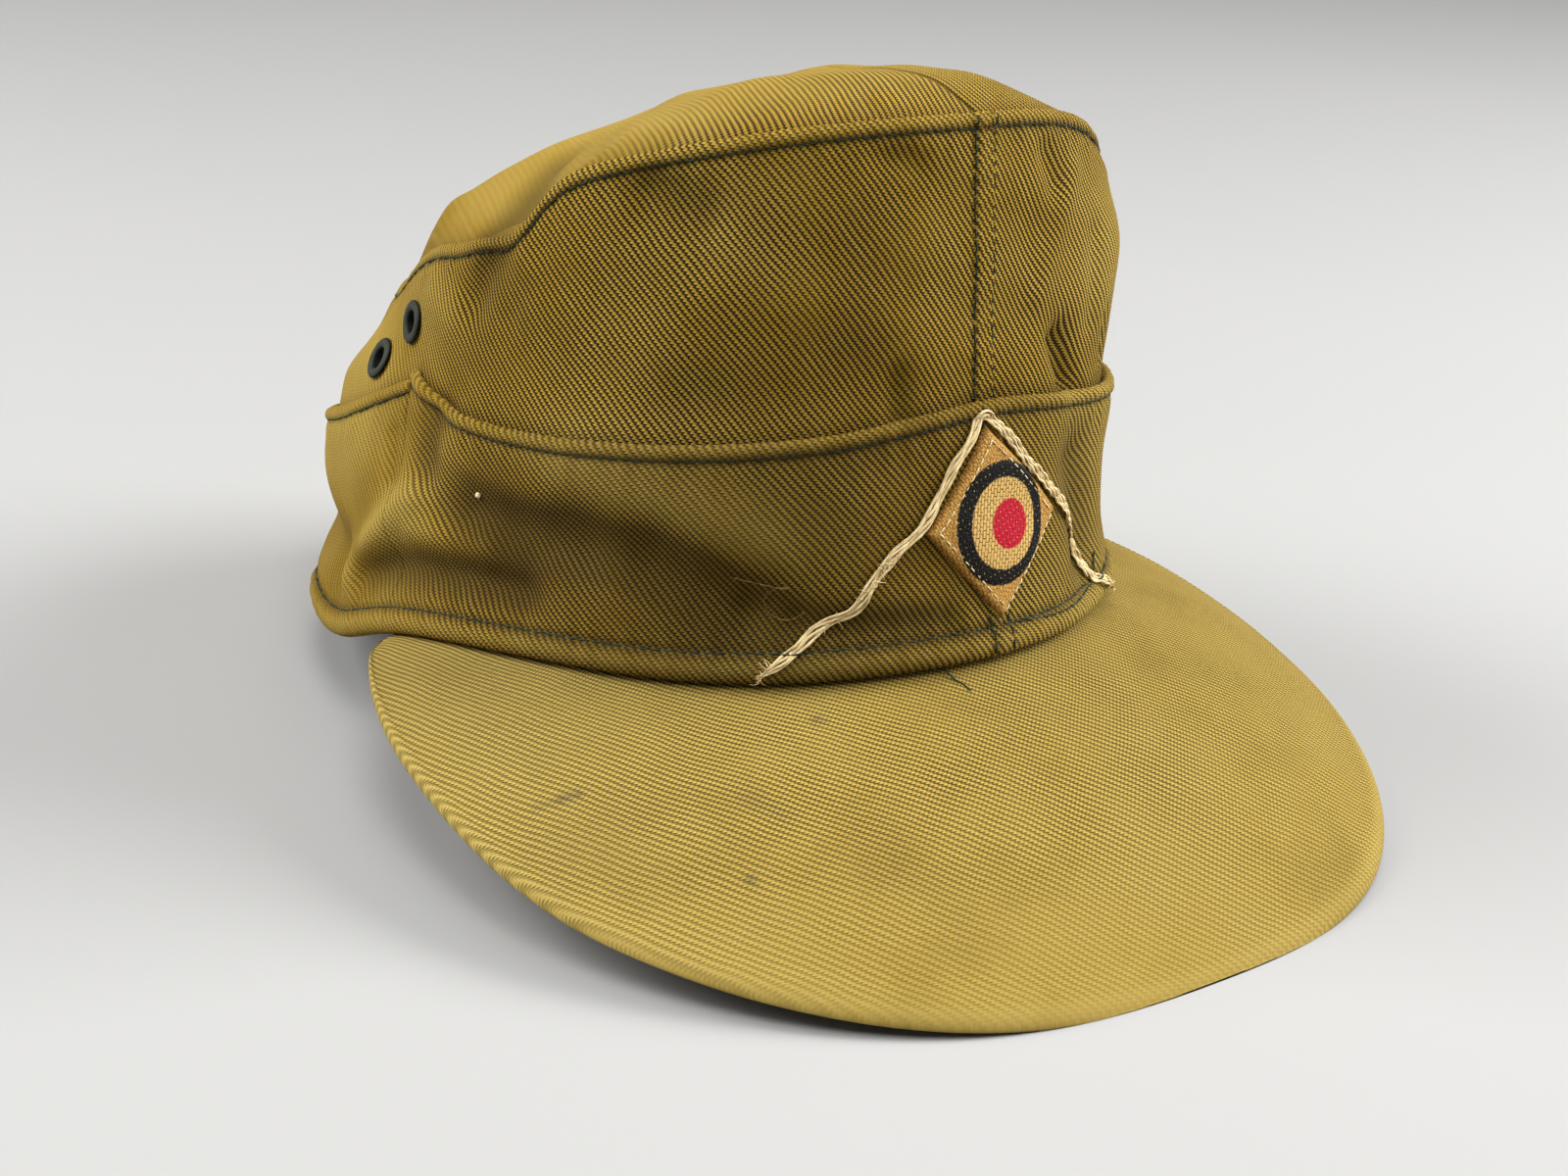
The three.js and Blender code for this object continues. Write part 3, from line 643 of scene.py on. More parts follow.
def add_node(tree: Tree, kind: str, inputs: Inputs, output: int | str = 0, **settings: Any) -> Socket:
    """Adds one node with its settings and links.

    Args:
        tree: Tree of the material.
        kind: Blender's name of the node type, after ShaderNode.
        inputs: Socket names or numbers, each with a value or an output socket.
        output: Which output is wanted.
        settings: Properties of the node.

    Returns:
        The wanted output.
    """
    node = tree.nodes.new(f"ShaderNode{kind}")
    for key, value in settings.items():
        setattr(node, key, value)
    set_inputs(tree, node, inputs)
    return node.outputs[output]


def layered(tree: Tree, base: Any, coats: Sequence[tuple[Any, Any]]) -> Socket:
    """Lays colours over a base, one after another, each by its own share.

    Args:
        tree: Tree of the material.
        base: Colour or socket of the base.
        coats: For each coat, the share of it that covers and its colour or socket.

    Returns:
        The colour of the whole.
    """
    colour = base
    for share, tint in coats:
        inputs = {MIX_SHARE: share, MIX_UNDER: colour, MIX_OVER: tint}
        colour = add_node(tree, "Mix", inputs, MIX_RESULT, data_type="RGBA")
    return colour


def new_material(name: str) -> tuple[Material, Tree, bpy.types.Node]:
    """Starts a node material.

    Args:
        name: Its name.

    Returns:
        The material, its tree and its shader.
    """
    material = bpy.data.materials.new(name)
    material.use_nodes = True
    tree = material.node_tree
    return material, tree, tree.nodes["Principled BSDF"]


@dataclass(frozen=True)
class Span:
    """A stretch of a pattern's values, and the shares that its two ends stand for."""

    start: float
    end: float
    low: float = 0.0
    high: float = 1.0

    def of(self, value: Socket) -> Inputs:
        """Inputs of a Map Range node that carries a pattern over the span."""
        ends = {"From Min": self.start, "From Max": self.end, "To Min": self.low, "To Max": self.high}
        return {"Value": value, **ends}


@dataclass(frozen=True)
class TwillCloth:
    """Cotton drill, piece-dyed and woven in a steep twill: matt raised ribs with furrows between them that
    are painted dark as shade, yarns that cross each rib like a row of beads with painted shade where they
    dip, a soft fuzz, and slow patches where sun has bleached it and hands have dirtied it. Over these lie the
    painted shade and painted highlights that each piece marks. Lengths are in mm, and ribs and yarns are
    drawn coarser than real ones to show."""

    name: str
    rib: str
    # Colour between the ribs, painted dark as shade.
    shaded_furrow: str
    # Paler tint: real fading and rubbing, and also the painted highlights.
    faded: str
    # Darker tint: real dulling patches, and also the painted shade.
    soiled_and_shaded: str
    stain: str | None = None
    spacing: float = 1.25
    rib_depth: float = 0.3
    yarn: float = 0.7
    yarn_lean: float = 62.0
    jag: float = 0.3
    bends_per_mm: float = 0.06
    bend: float = 1.3
    fuzz_per_mm: float = 1.9
    slubs_per_mm: tuple[float, float, float] = (0.85, 0.05, 1.0)
    patches_per_m: float = 30.0
    crest: Span = Span(0.1, 0.72)
    # Darkening where the yarns dip along a rib, as painted shade.
    bead_shading: Span = Span(0, 1, 0.65, 1.0)
    grain: Span = Span(0, 1, 0.52, 1.42)
    coming_and_going: Span = Span(0.35, 0.65, 0.8)
    streak: Span = Span(0.5, 0.78, 0, 0.45)
    fading: Span = Span(0.45, 0.75, 0, 0.5)
    dulling: Span = Span(0.48, 0.25, 0, 0.4)
    roughness: Span = Span(0, 1, 0.86, 0.98)
    # Share of the painted shade mark that darkens the ribs.
    shade_share: float = 0.7
    # How far rubbing and painted highlights pale the furrows.
    furrow_paling: float = 0.4
    yarn_relief: float = 0.25
    fuzz_relief: float = 0.35
    stain_break: float = 1.5
    gloss: float = 0.12

    def material(self) -> Material:
        """Builds the material. Ribs and yarns are bands on the cloth's own coordinates, which a noise bends.

        Returns:
            The material.
        """
        material, tree, shader = new_material(self.name)
        cloth = add_node(tree, "Attribute", {}, "Vector", attribute_name="weave_mm")
        marks = {}
        for name in ("wear_and_highlight", "painted_shade", "crisp"):
            marks[name] = add_node(tree, "Attribute", {}, "Fac", attribute_name=name)
        noise = {"Vector": cloth, "Scale": self.bends_per_mm, "Detail": 2.0}
        bends = add_node(tree, "TexNoise", noise, "Color")
        centred = add_node(tree, "VectorMath", {0: bends, 1: (0.5, 0.5, 0.5)}, operation="SUBTRACT")
        shift = {0: centred, 1: (self.bend, self.bend, 0), 2: cloth}
        moved = add_node(tree, "VectorMath", shift, operation="MULTIPLY_ADD")
        lean = add_node(tree, "Mapping", {"Vector": moved, "Rotation": (0, 0, np.radians(self.yarn_lean))})
        yarns = add_node(tree, "TexWave", {"Vector": lean, "Scale": WAVE / self.yarn}, "Fac")
        push = {0: yarns, 1: (self.jag, 0, 0), 2: moved}
        jagged = add_node(tree, "VectorMath", push, operation="MULTIPLY_ADD")
        ribs = add_node(tree, "TexWave", {"Vector": jagged, "Scale": WAVE / self.spacing}, "Fac")
        noise = {"Vector": cloth, "Scale": self.fuzz_per_mm, "Detail": 4.0, "Roughness": 0.65}
        fuzz = add_node(tree, "TexNoise", noise, "Fac")
        drawn = add_node(tree, "Mapping", {"Vector": cloth, "Scale": self.slubs_per_mm})
        slubs = add_node(tree, "TexNoise", {"Vector": drawn, "Scale": 1.0, "Detail": 3.0}, "Fac")
        place = add_node(tree, "TexCoord", {}, "Object")
        noise = {"Vector": place, "Scale": self.patches_per_m, "Detail": 4.0}
        patches = add_node(tree, "TexNoise", noise, "Fac")

        crest = add_node(tree, "MapRange", self.crest.of(ribs), interpolation_type="SMOOTHSTEP")
        tone = crest
        for span, pattern in ((self.bead_shading, yarns), (self.grain, fuzz)):
            factor = add_node(tree, "MapRange", span.of(pattern), clamp=False)
            tone = add_node(tree, "Math", {0: tone, 1: factor}, operation="MULTIPLY")
        clear = add_node(tree, "MapRange", self.coming_and_going.of(bends.node.outputs["Fac"]))
        clear = add_node(tree, "Math", {0: marks["crisp"], 1: clear}, operation="MULTIPLY")
        tone = add_node(tree, "Math", {0: tone, 1: MEAN_TONE}, operation="SUBTRACT")
        tone = add_node(tree, "Math", {0: tone, 1: clear, 2: MEAN_TONE}, operation="MULTIPLY_ADD")
        relief = add_node(tree, "Math", {0: yarns, 1: self.yarn_relief, 2: ribs}, operation="MULTIPLY_ADD")
        relief = add_node(tree, "Math", {0: relief, 1: clear}, operation="MULTIPLY")
        relief = add_node(tree, "Math", {0: fuzz, 1: self.fuzz_relief, 2: relief}, operation="MULTIPLY_ADD")
        bump = add_node(tree, "Bump", {"Height": relief, "Strength": 1.0, "Distance": self.rib_depth * MM})

        shares = []
        for span, pattern in ((self.streak, slubs), (self.fading, patches), (self.dulling, patches)):
            shares.append(add_node(tree, "MapRange", span.of(pattern)))
        # Painted shade from the pieces' marks, in the darker tint; rubbing together with painted highlights,
        # in the paler tint, also on the furrows.
        painted_shade = add_node(tree, "Math", {0: marks["painted_shade"], 1: self.shade_share}, operation="MULTIPLY")
        worn = add_node(tree, "Math", {0: marks["wear_and_highlight"], 1: self.furrow_paling}, operation="MULTIPLY")
        tints = [linear(colour) for colour in (self.faded, self.faded, self.soiled_and_shaded, self.faded, self.soiled_and_shaded)]
        crests = layered(tree, linear(self.rib), list(zip([*shares, marks["wear_and_highlight"], painted_shade], tints)))
        furrows = layered(tree, linear(self.shaded_furrow), [(worn, linear(self.faded))])
        colour = layered(tree, furrows, [(tone, crests)])
        if self.stain:
            broken = add_node(tree, "Math", {0: fuzz, 1: self.stain_break}, operation="MULTIPLY")
            stained = add_node(tree, "Attribute", {}, "Fac", attribute_name="stain")
            broken = add_node(tree, "Math", {0: stained, 1: broken}, operation="MULTIPLY")
            colour = layered(tree, colour, [(broken, linear(self.stain))])
        rough = add_node(tree, "MapRange", self.roughness.of(fuzz))
        finish = {"Base Color": colour, "Roughness": rough, "Normal": bump, "Specular IOR Level": self.gloss}
        set_inputs(tree, shader, finish)
        return material


@dataclass(frozen=True)
class SpunThread:
    """Mercerised sewing cotton, spun from two plies: a thin matt strand with a fine diagonal twist, drawn a
    little coarser than real plies so that it shows."""

    name: str
    light: str
    dark: str
    twist: float = 0.35
    ply_depth: float = 0.08

    def material(self) -> Material:
        """Builds the material: fine slanting bands in space.

        Returns:
            The material.
        """
        material, tree, shader = new_material(self.name)
        place = add_node(tree, "TexCoord", {}, "Object")
        bands = {"Vector": place, "Scale": WAVE / (self.twist * MM), "Distortion": 2.0, "Detail": 2.0}
        plies = add_node(tree, "TexWave", bands, "Fac", bands_direction="DIAGONAL")
        colour = layered(tree, linear(self.dark), [(plies, linear(self.light))])
        bump = add_node(tree, "Bump", {"Height": plies, "Strength": 0.6, "Distance": self.ply_depth * MM})
        finish = {"Base Color": colour, "Normal": bump, "Roughness": 0.75, "Specular IOR Level": 0.2}
        set_inputs(tree, shader, finish)
        return material


@dataclass(frozen=True)
class BraidedCotton:
    """Lustrous ivory cotton strands, laid side by side: fine fibres along each strand, with tan and dark
    streaks along them, and painted shade on the side of each strand that faces the cloth."""

    name: str
    light: str
    middle: str
    dark: str
    fibres_per_mm: tuple[float, float, float] = (0.3, 2.6, 1.0)
    fibre_depth: float = 0.2
    lighting: Span = Span(0.4, 0.58)
    darkening: Span = Span(0.44, 0.32)

    def material(self) -> Material:
        """Builds the material: a noise drawn out along the strand, on coordinates along and round it.

        Returns:
            The material.
        """
        material, tree, shader = new_material(self.name)
        strand = add_node(tree, "Attribute", {}, "Vector", attribute_name="strand_mm")
        painted_shade = add_node(tree, "Attribute", {}, "Fac", attribute_name="painted_shade")
        drawn = add_node(tree, "Mapping", {"Vector": strand, "Scale": self.fibres_per_mm})
        noise = {"Vector": drawn, "Scale": 1.0, "Detail": 4.0, "Roughness": 0.6}
        fibres = add_node(tree, "TexNoise", noise, "Fac")
        light = add_node(tree, "MapRange", self.lighting.of(fibres))
        gloom = add_node(tree, "MapRange", self.darkening.of(fibres))
        # The last coat is painted shade on each strand's underside.
        coats = [(light, linear(self.light)), (gloom, linear(self.dark)), (painted_shade, linear(self.dark))]
        colour = layered(tree, linear(self.middle), coats)
        bump = add_node(tree, "Bump", {"Height": fibres, "Strength": 0.8, "Distance": self.fibre_depth * MM})
        finish = {"Base Color": colour, "Normal": bump, "Roughness": 0.45, "Specular IOR Level": 0.35}
        set_inputs(tree, shader, finish)
        return material


@dataclass(frozen=True)
class Ring:
    """One field of the roundel: an ellipse, with its middle and half axes in mm from the badge's middle."""

    across: float
    up: float
    half_width: float
    half_height: float


@dataclass(frozen=True)
class Floats:
    """Yarns that float over the badge: how far they lean from upright in degrees, and their size in mm."""

    lean: float
    length: float
    width: float


@dataclass(frozen=True)
class WovenBadge:
    """Machine-woven rayon and cotton badge: a tan ground of small slanting floats, and fields of black, cream
    and red with flecks where the pale binding thread comes through."""

    name: str
    tan: str
    tan_dark: str
    black: str
    cream: str
    cream_dark: str
    red: str
    outer: Ring = Ring(-0.4, -0.15, 11.6, 12.7)
    pale: Ring = Ring(-1.0, -0.25, 8.55, 9.36)
    disc: Ring = Ring(-2.4, -0.6, 4.76, 5.13)
    soft_edge: float = 0.15
    ground_floats: Floats = Floats(24.0, 1.15, 0.62)
    cream_floats: Floats = Floats(-7.0, 1.5, 0.8)
    gap_share: float = 0.2
    fleck_lean: float = 18.0
    fleck_pitch: Pair = (1.15, 1.4)
    fleck_size: Span = Span(0.84, 0.96)
    fleck_wear: Span = Span(0.42, 0.6)
    red_flecks: float = 0.7
    jitters_per_mm: float = 1.6
    jitter: float = 0.3
    relief: float = 0.2

    def inside(self, tree: Tree, place: Socket, ring: Ring) -> Socket:
        """Tells the inside of an ellipse of the badge from its outside.

        Args:
            tree: Tree of the material.
            place: Coordinates on the badge, in mm.
            ring: The ellipse.

        Returns:
            1 inside and 0 outside, with a soft edge.
        """
        away = add_node(tree, "VectorMath", {0: place, 1: (ring.across, ring.up, 0)}, operation="SUBTRACT")
        axes = (1 / ring.half_width, 1 / ring.half_height, 0)
        scaled = add_node(tree, "VectorMath", {0: away, 1: axes}, operation="MULTIPLY")
        reach = add_node(tree, "VectorMath", {0: scaled}, "Value", operation="LENGTH")
        soft = self.soft_edge / ring.half_width
        return add_node(tree, "MapRange", Span(1 + soft, 1 - soft).of(reach))

    def gaps(self, tree: Tree, place: Socket, floats: Floats) -> Socket:
        """Gaps between staggered yarn floats.

        Args:
            tree: Tree of the material.
            place: Coordinates on the badge, in mm.
            floats: Lean and size of the floats.

        Returns:
            1 in a gap and 0 on a float.
        """
        turn = (0, 0, np.radians(90 + floats.lean))
        turned = add_node(tree, "Mapping", {"Vector": place, "Rotation": turn})
        sizes = {"Vector": turned, "Scale": 1.0, "Brick Width": floats.length, "Row Height": floats.width}
        mortar = {"Mortar Size": self.gap_share * floats.width, "Mortar Smooth": 1.0}
        return add_node(tree, "TexBrick", {**sizes, **mortar}, "Fac")

    def flecks(self, tree: Tree, place: Socket) -> Socket:
        """Small dots in slanting rows, where two sets of bands both peak.

        Args:
            tree: Tree of the material.
            place: Coordinates on the badge, in mm.

        Returns:
            1 in a dot and 0 between dots.
        """
        turn = (0, 0, np.radians(self.fleck_lean))
        turned = add_node(tree, "Mapping", {"Vector": place, "Rotation": turn})
        bands = {}
        for number, (axis, pitch) in enumerate(zip("XY", self.fleck_pitch)):
            sizes = {"Vector": turned, "Scale": WAVE / pitch}
            bands[number] = add_node(tree, "TexWave", sizes, "Fac", bands_direction=axis)
        both = add_node(tree, "Math", bands, operation="MULTIPLY")
        return add_node(tree, "MapRange", self.fleck_size.of(both))

    def material(self) -> Material:
        """Builds the material: ellipses on the badge's own coordinates, whose edges step with the weave.

        Returns:
            The material.
        """
        material, tree, shader = new_material(self.name)
        badge = add_node(tree, "Attribute", {}, "Vector", attribute_name="badge_mm")
        painted_shade = add_node(tree, "Attribute", {}, "Fac", attribute_name="painted_shade")
        noise = {"Vector": badge, "Scale": self.jitters_per_mm, "Detail": 1.0}
        jitter = add_node(tree, "TexNoise", noise, "Color")
        shift = {0: jitter, 1: (2 * self.jitter, 2 * self.jitter, 0), 2: badge}
        moved = add_node(tree, "VectorMath", shift, operation="MULTIPLY_ADD")
        centre = (self.jitter, self.jitter, 0)
        place = add_node(tree, "VectorMath", {0: moved, 1: centre}, operation="SUBTRACT")
        ground_gap = self.gaps(tree, place, self.ground_floats)
        cream_gap = self.gaps(tree, place, self.cream_floats)
        flecks = self.flecks(tree, badge)
        worn = add_node(tree, "MapRange", self.fleck_wear.of(jitter.node.outputs["Fac"]))
        rubbed = add_node(tree, "Math", {0: flecks, 1: worn}, operation="MULTIPLY")
        fewer = add_node(tree, "Math", {0: flecks, 1: self.red_flecks}, operation="MULTIPLY")
        ground = layered(tree, linear(self.tan), [(ground_gap, linear(self.tan_dark))])
        fields = (
            (self.outer, layered(tree, linear(self.black), [(rubbed, linear(self.cream))])),
            (self.pale, layered(tree, linear(self.cream), [(cream_gap, linear(self.cream_dark))])),
            (self.disc, layered(tree, linear(self.red), [(fewer, linear(self.cream))])),
        )
        coats = [(self.inside(tree, place, ring), colour) for ring, colour in fields]
        # The last coat is painted shade, in the dark tan, where the patch's edges fold down.
        colour = layered(tree, ground, [*coats, (painted_shade, linear(self.tan_dark))])
        sunk = add_node(tree, "Math", {0: cream_gap, 1: -1.0}, operation="MULTIPLY")
        height = add_node(tree, "Math", {0: flecks, 1: 0.5, 2: sunk}, operation="MULTIPLY_ADD")
        bump = add_node(tree, "Bump", {"Height": height, "Strength": 0.9, "Distance": self.relief * MM})
        finish = {"Base Color": colour, "Normal": bump, "Roughness": 0.62, "Specular IOR Level": 0.12}
        set_inputs(tree, shader, finish)
        return material


@dataclass(frozen=True)
class BlackenedMetal:
    """Pressed steel, stove-blackened and worn: a satin dark skin with grey metal showing at the crest."""

    name: str
    skin: str
    bare: str
    grains_per_m: float = 900.0
    grain_depth: float = 0.1
    roughness: Span = Span(0, 1, 0.5, 0.8)

    def material(self) -> Material:
        """Builds the material: rubbed places where a fine noise meets the worn crest.

        Returns:
            The material.
        """
        material, tree, shader = new_material(self.name)
        place = add_node(tree, "TexCoord", {}, "Object")
        wear_and_highlight = add_node(tree, "Attribute", {}, "Fac", attribute_name="wear_and_highlight")
        noise = {"Vector": place, "Scale": self.grains_per_m, "Detail": 4.0}
        grain = add_node(tree, "TexNoise", noise, "Fac")
        rubbed = add_node(tree, "Math", {0: wear_and_highlight, 1: grain}, operation="MULTIPLY")
        colour = layered(tree, linear(self.skin), [(rubbed, linear(self.bare))])
        rough = add_node(tree, "MapRange", self.roughness.of(grain))
        bump = add_node(tree, "Bump", {"Height": grain, "Strength": 0.3, "Distance": self.grain_depth * MM})
        set_inputs(tree, shader, {"Base Color": colour, "Roughness": rough, "Normal": bump, "Metallic": 0.7})
        return material


@dataclass(frozen=True)
class Finishes:
    """The finishes of the cap, each built once."""

    crown: Material
    visor: Material
    green_thread: Material
    pale_thread: Material
    fibre: Material
    braid: Material
    badge: Material
    metal: Material

    @classmethod
    def build(cls) -> "Finishes":
        """Builds all the materials in the photograph's colours.

        Returns:
            The finishes.
        """
        crown = TwillCloth("cotton twill, woven", "#98781e", "#281c05", "#b0974a", "#2b1e06")
        visor = TwillCloth(
            "cotton twill, sun-faded", "#a98f43", "#4f3f14", "#ac9650", "#5d4a1e", "#3f3a2c", spacing=1.2
        )
        badge = WovenBadge("woven badge", "#b78a42", "#5f3d15", "#060604", "#c09d5a", "#6f5020", "#a50a24")
        return cls(
            crown=crown.material(),
            visor=visor.material(),
            green_thread=SpunThread("sewing cotton, bottle green", "#22382d", "#0b1611").material(),
            pale_thread=SpunThread("sewing cotton, ivory", "#e6d9b4", "#bda672").material(),
            fibre=SpunThread("stray cotton fibre, brown", "#a5854a", "#6b5026").material(),
            braid=BraidedCotton("laid cotton strands, ivory", "#e6d3a0", "#a5824a", "#3c2b0e").material(),
            badge=badge.material(),
            metal=BlackenedMetal("blackened steel", "#15180f", "#3d3f33").material(),
        )


@dataclass(frozen=True)
class EyeletPlace:
    """Where one vent eyelet sits on the crown's wall."""

    node: str
    turn: float
    height: float


@dataclass
class Eyelets:
    """The vents of the crown: domed rings whose barrels go through the wall and are turned over inside it."""

    finishes: Finishes
    flange: float = 4.7
    hole: float = 2.4
    barrel: float = 2.9
    lip: float = 4.1
    lip_thickness: float = 0.55
    seat: float = 0.45
    dome: float = 0.7
    dome_power: float = 0.75
    dome_steps: int = 15
    sides: int = 40
    places: tuple[EyeletPlace, ...] = (
        EyeletPlace("eyelet_right_front", 93, 68.4),
        EyeletPlace("eyelet_right_rear", 102, 60.3),
        EyeletPlace("eyelet_left_front", -93, 68.4),
        EyeletPlace("eyelet_left_rear", -102, 60.3),
    )

    def build(self) -> None:
        """Builds all the eyelets."""
        for place in self.places:
            self.eyelet(place)

    def outside(self, outer: Array) -> Array:
        """Finds the cells of a wall that lie clear of the barrels.

        Args:
            outer: Grid of the wall's outer points.

        Returns:
            True where a cell stays.
        """
        middle = (outer[:-1, :-1] + outer[1:, 1:]) / 2
        keep = np.ones(middle.shape[:2], bool)
        for place in self.places:
            centre = crown_point(place.turn, place.height, -WALL_INSET)
            keep &= np.linalg.norm(middle - centre, axis=-1) > (self.barrel + self.lip) / 2
        return keep

    def axes(self, place: EyeletPlace) -> tuple[Array, Array, Array]:
        """Directions at one eyelet, from points of the wall on its flange.

        Args:
            place: Where it sits.

        Returns:
            Unit vectors up the wall, aside and outward.
        """
        step = self.flange / MM_PER_DEGREE
        turns = place.turn + step * np.array([0, 0, 1, -1])
        heights = place.height + self.flange * np.array([1, -1, 0, 0])
        above, below, ahead, behind = crown_point(turns, heights, -WALL_INSET)
        out = np.cross(above - below, ahead - behind)
        out = out / np.linalg.norm(out)
        out = out if out @ crown_point(place.turn, place.height, -WALL_INSET) > 0 else -out
        up = (above - below) / np.linalg.norm(above - below)
        return up, np.cross(up, out), out

    def eyelet(self, place: EyeletPlace) -> None:
        """One eyelet: a ring's profile turned about the wall's outward direction, closed both ways.

        Args:
            place: Where it sits.
        """
        up, aside, out = self.axes(place)
        arc = np.linspace(0, np.pi, self.dome_steps)
        crest = (self.flange + self.hole) / 2 + (self.flange - self.hole) / 2 * np.cos(arc)
        rise = self.seat + self.dome * np.sin(arc) ** self.dome_power
        inside = -CLOTH - 2 * self.seat
        turned_over = inside - self.lip_thickness
        radii = np.array([self.hole, self.hole, self.lip, self.lip, self.barrel, self.barrel])
        depths = np.array([inside, turned_over, turned_over, inside, inside, self.seat])
        profile = np.stack([np.concatenate([crest, radii]), np.concatenate([rise, depths])])
        angle = np.arange(self.sides) * 2 * np.pi / self.sides
        spoke = np.cos(angle)[:, None] * up + np.sin(angle)[:, None] * aside
        middle = crown_point(place.turn, place.height, -WALL_INSET)
        points = middle + profile[0][:, None, None] * spoke + profile[1][:, None, None] * out
        wear_and_highlight = np.concatenate([np.sin(arc) ** 2, np.zeros(len(radii))])
        marks = {"wear_and_highlight": np.repeat(wear_and_highlight, self.sides)}
        faces = ring_faces(profile.shape[1], self.sides)
        metal = self.finishes.metal
        add_piece(f"{place.node}_ring", points.reshape(-1, 3), faces, metal, [place.node], marks)


@dataclass
class CrownWalls:
    """The two side walls of the crown, with the rib along their top seam and the felled seam at the front."""

    finishes: Finishes
    eyelets: Eyelets
    columns: int = 280
    seam_columns: int = 26
    seam_reach: float = 5.0
    back_gap: float = 0.06
    hidden_rows: int = 6
    bare_rows: int = 66
    rib_rows: int = 16
    hem: float = 1.0
    rib_overhang: float = 0.35
    rib_power: float = 0.8
    rib_tuck: float = 0.4
    rib_softening: Ramp = Ramp(66, 100, 0.45)
    plait: float = 0.16
    plait_slope: float = 0.8
    plait_pitch: float = 2.9
    fell_groove: Band = Band(0.3, 0.55, FELL_HALF_WIDTH)
    back_groove: Band = Band(0.5, 0.9)
    back_groove_end: float = 4.0
    rib_gathers: Pair = (0.16, 5.0)
    fell_gathers: Pair = (0.12, 3.0)
    twill_angle: float = 53.0
    full_fold: float = 3.0
    # Painted shade in the folds' valleys and painted highlights on their ridges, then painted shade in the
    # groove under the rib and just above the flap's edge.
    fold_shade: float = 0.45
    fold_highlight: float = 0.4
    groove_shade: Band = Band(0.8, 1.0)
    edge_shade: Band = Band(0.5, 2.2)
    rib_wear: float = 0.12
    plain_crisp: float = 1.1
    rib_crisp: float = 0.85
    clear_places: tuple[Band, ...] = (Band(0.35, 20, 58), Band(0.35, 16, -26))
    blur: Ramp = Ramp(72, 106, 0.6)

    def build(self) -> None:
        """Builds both walls."""
        for side in Side:
            self.wall(side)

    def rows(self, turn: Array) -> tuple[Array, Array]:
        """Rows of a wall: those hidden by the flap, the bare wall, then half a turn round the rib.

        Args:
            turn: Turns as a column.

        Returns:
            Heights, and angles round the rib from 0 to pi, which are 0 below it.
        """
        hem = flap_height(turn) - self.hem
        groove = seam_height(turn) - RIB.width
        hidden = WALL_FOOT + (hem - WALL_FOOT) * np.linspace(0, 1, self.hidden_rows)
        bare = hem + (groove - hem) * np.linspace(0, 1, self.bare_rows)[1:]
        angle = np.linspace(0, np.pi, self.rib_rows)[1:]
        rib = groove + RIB.width * (1 - np.cos(angle)) / 2 + self.rib_overhang * np.sin(angle)
        below = np.zeros(hidden.shape[1] + bare.shape[1])
        return np.concatenate([hidden, bare, rib], 1), np.concatenate([below, angle])[None]

    def puff(self, side: Side, turn: Array, heights: Array, angle: Array) -> Array:
        """How far the skin stands out: the rib as a power of a sine, the groove under it, the felled seam's
        strip with its slanting plaits, the groove of the back seam, and the gathers beside the stitches.

        Args:
            side: Which wall.
            turn: Turns as a column.
            heights: Heights of the rows.
            angle: Angles round the rib.

        Returns:
            Distances outward in mm.
        """
        across = np.radians(turn) * RIM_HALF_WIDTH
        groove = seam_height(turn) - RIB.width
        on_rib = angle > 0
        firm = RIB.puff * (1 - self.rib_softening.over(side_turn(turn)))
        rib = firm * np.sin(angle) ** self.rib_power - CLOTH * (1 - np.cos(angle)) / 2
        puff = np.where(on_rib, rib, 0) - RIB.groove * bell(heights - groove, RIB.spread)
        if side is Side.RIGHT:
            plait = self.plait * np.sin((heights + self.plait_slope * across) * 2 * np.pi / self.plait_pitch)
            puff = puff + fell_strip(across) * (FELL_RAISE + plait) - self.fell_groove.over(across)
        back = self.back_groove.over((180 - np.abs(turn)) * MM_PER_DEGREE)
        puff = puff - back * smoothstep(groove - heights, 0, self.back_groove_end)
        gathers = pucker(turn * MM_PER_DEGREE, groove - heights, *self.rib_gathers)
        puff = puff + np.where(on_rib, 0.5, 1) * gathers
        in_front = np.abs(turn) < 90
        return puff + in_front * pucker(heights, np.abs(across) - FELL_HALF_WIDTH, *self.fell_gathers)

    def wall(self, side: Side) -> None:
        """One side wall. The right one laps over the left at the front, as the felled seam's raised strip.

        Args:
            side: Which wall.
        """
        laps = side is Side.RIGHT
        start = -FELL_HALF_WIDTH if laps else 0.0
        narrow = np.degrees(np.linspace(start, self.seam_reach, self.seam_columns) / RIM_HALF_WIDTH)
        wide = np.linspace(narrow[-1], 180 - self.back_gap, self.columns)[1:]
        turn = np.concatenate([narrow, wide])[:, None] * side.value
        heights, angle = self.rows(turn)
        on_rib = angle > 0
        outer = crown_point(turn, heights, self.puff(side, turn, heights, angle) - WALL_INSET)
        lining = np.minimum(heights, seam_height(turn) - self.rib_tuck)
        across = np.radians(turn) * RIM_HALF_WIDTH
        inner = crown_point(turn, lining, inner_offset(CLOTH, across, laps) - WALL_INSET)
        folds = fold_depth(WALL_FOLDS, turn, heights) / self.full_fold
        groove = seam_height(turn) - RIB.width
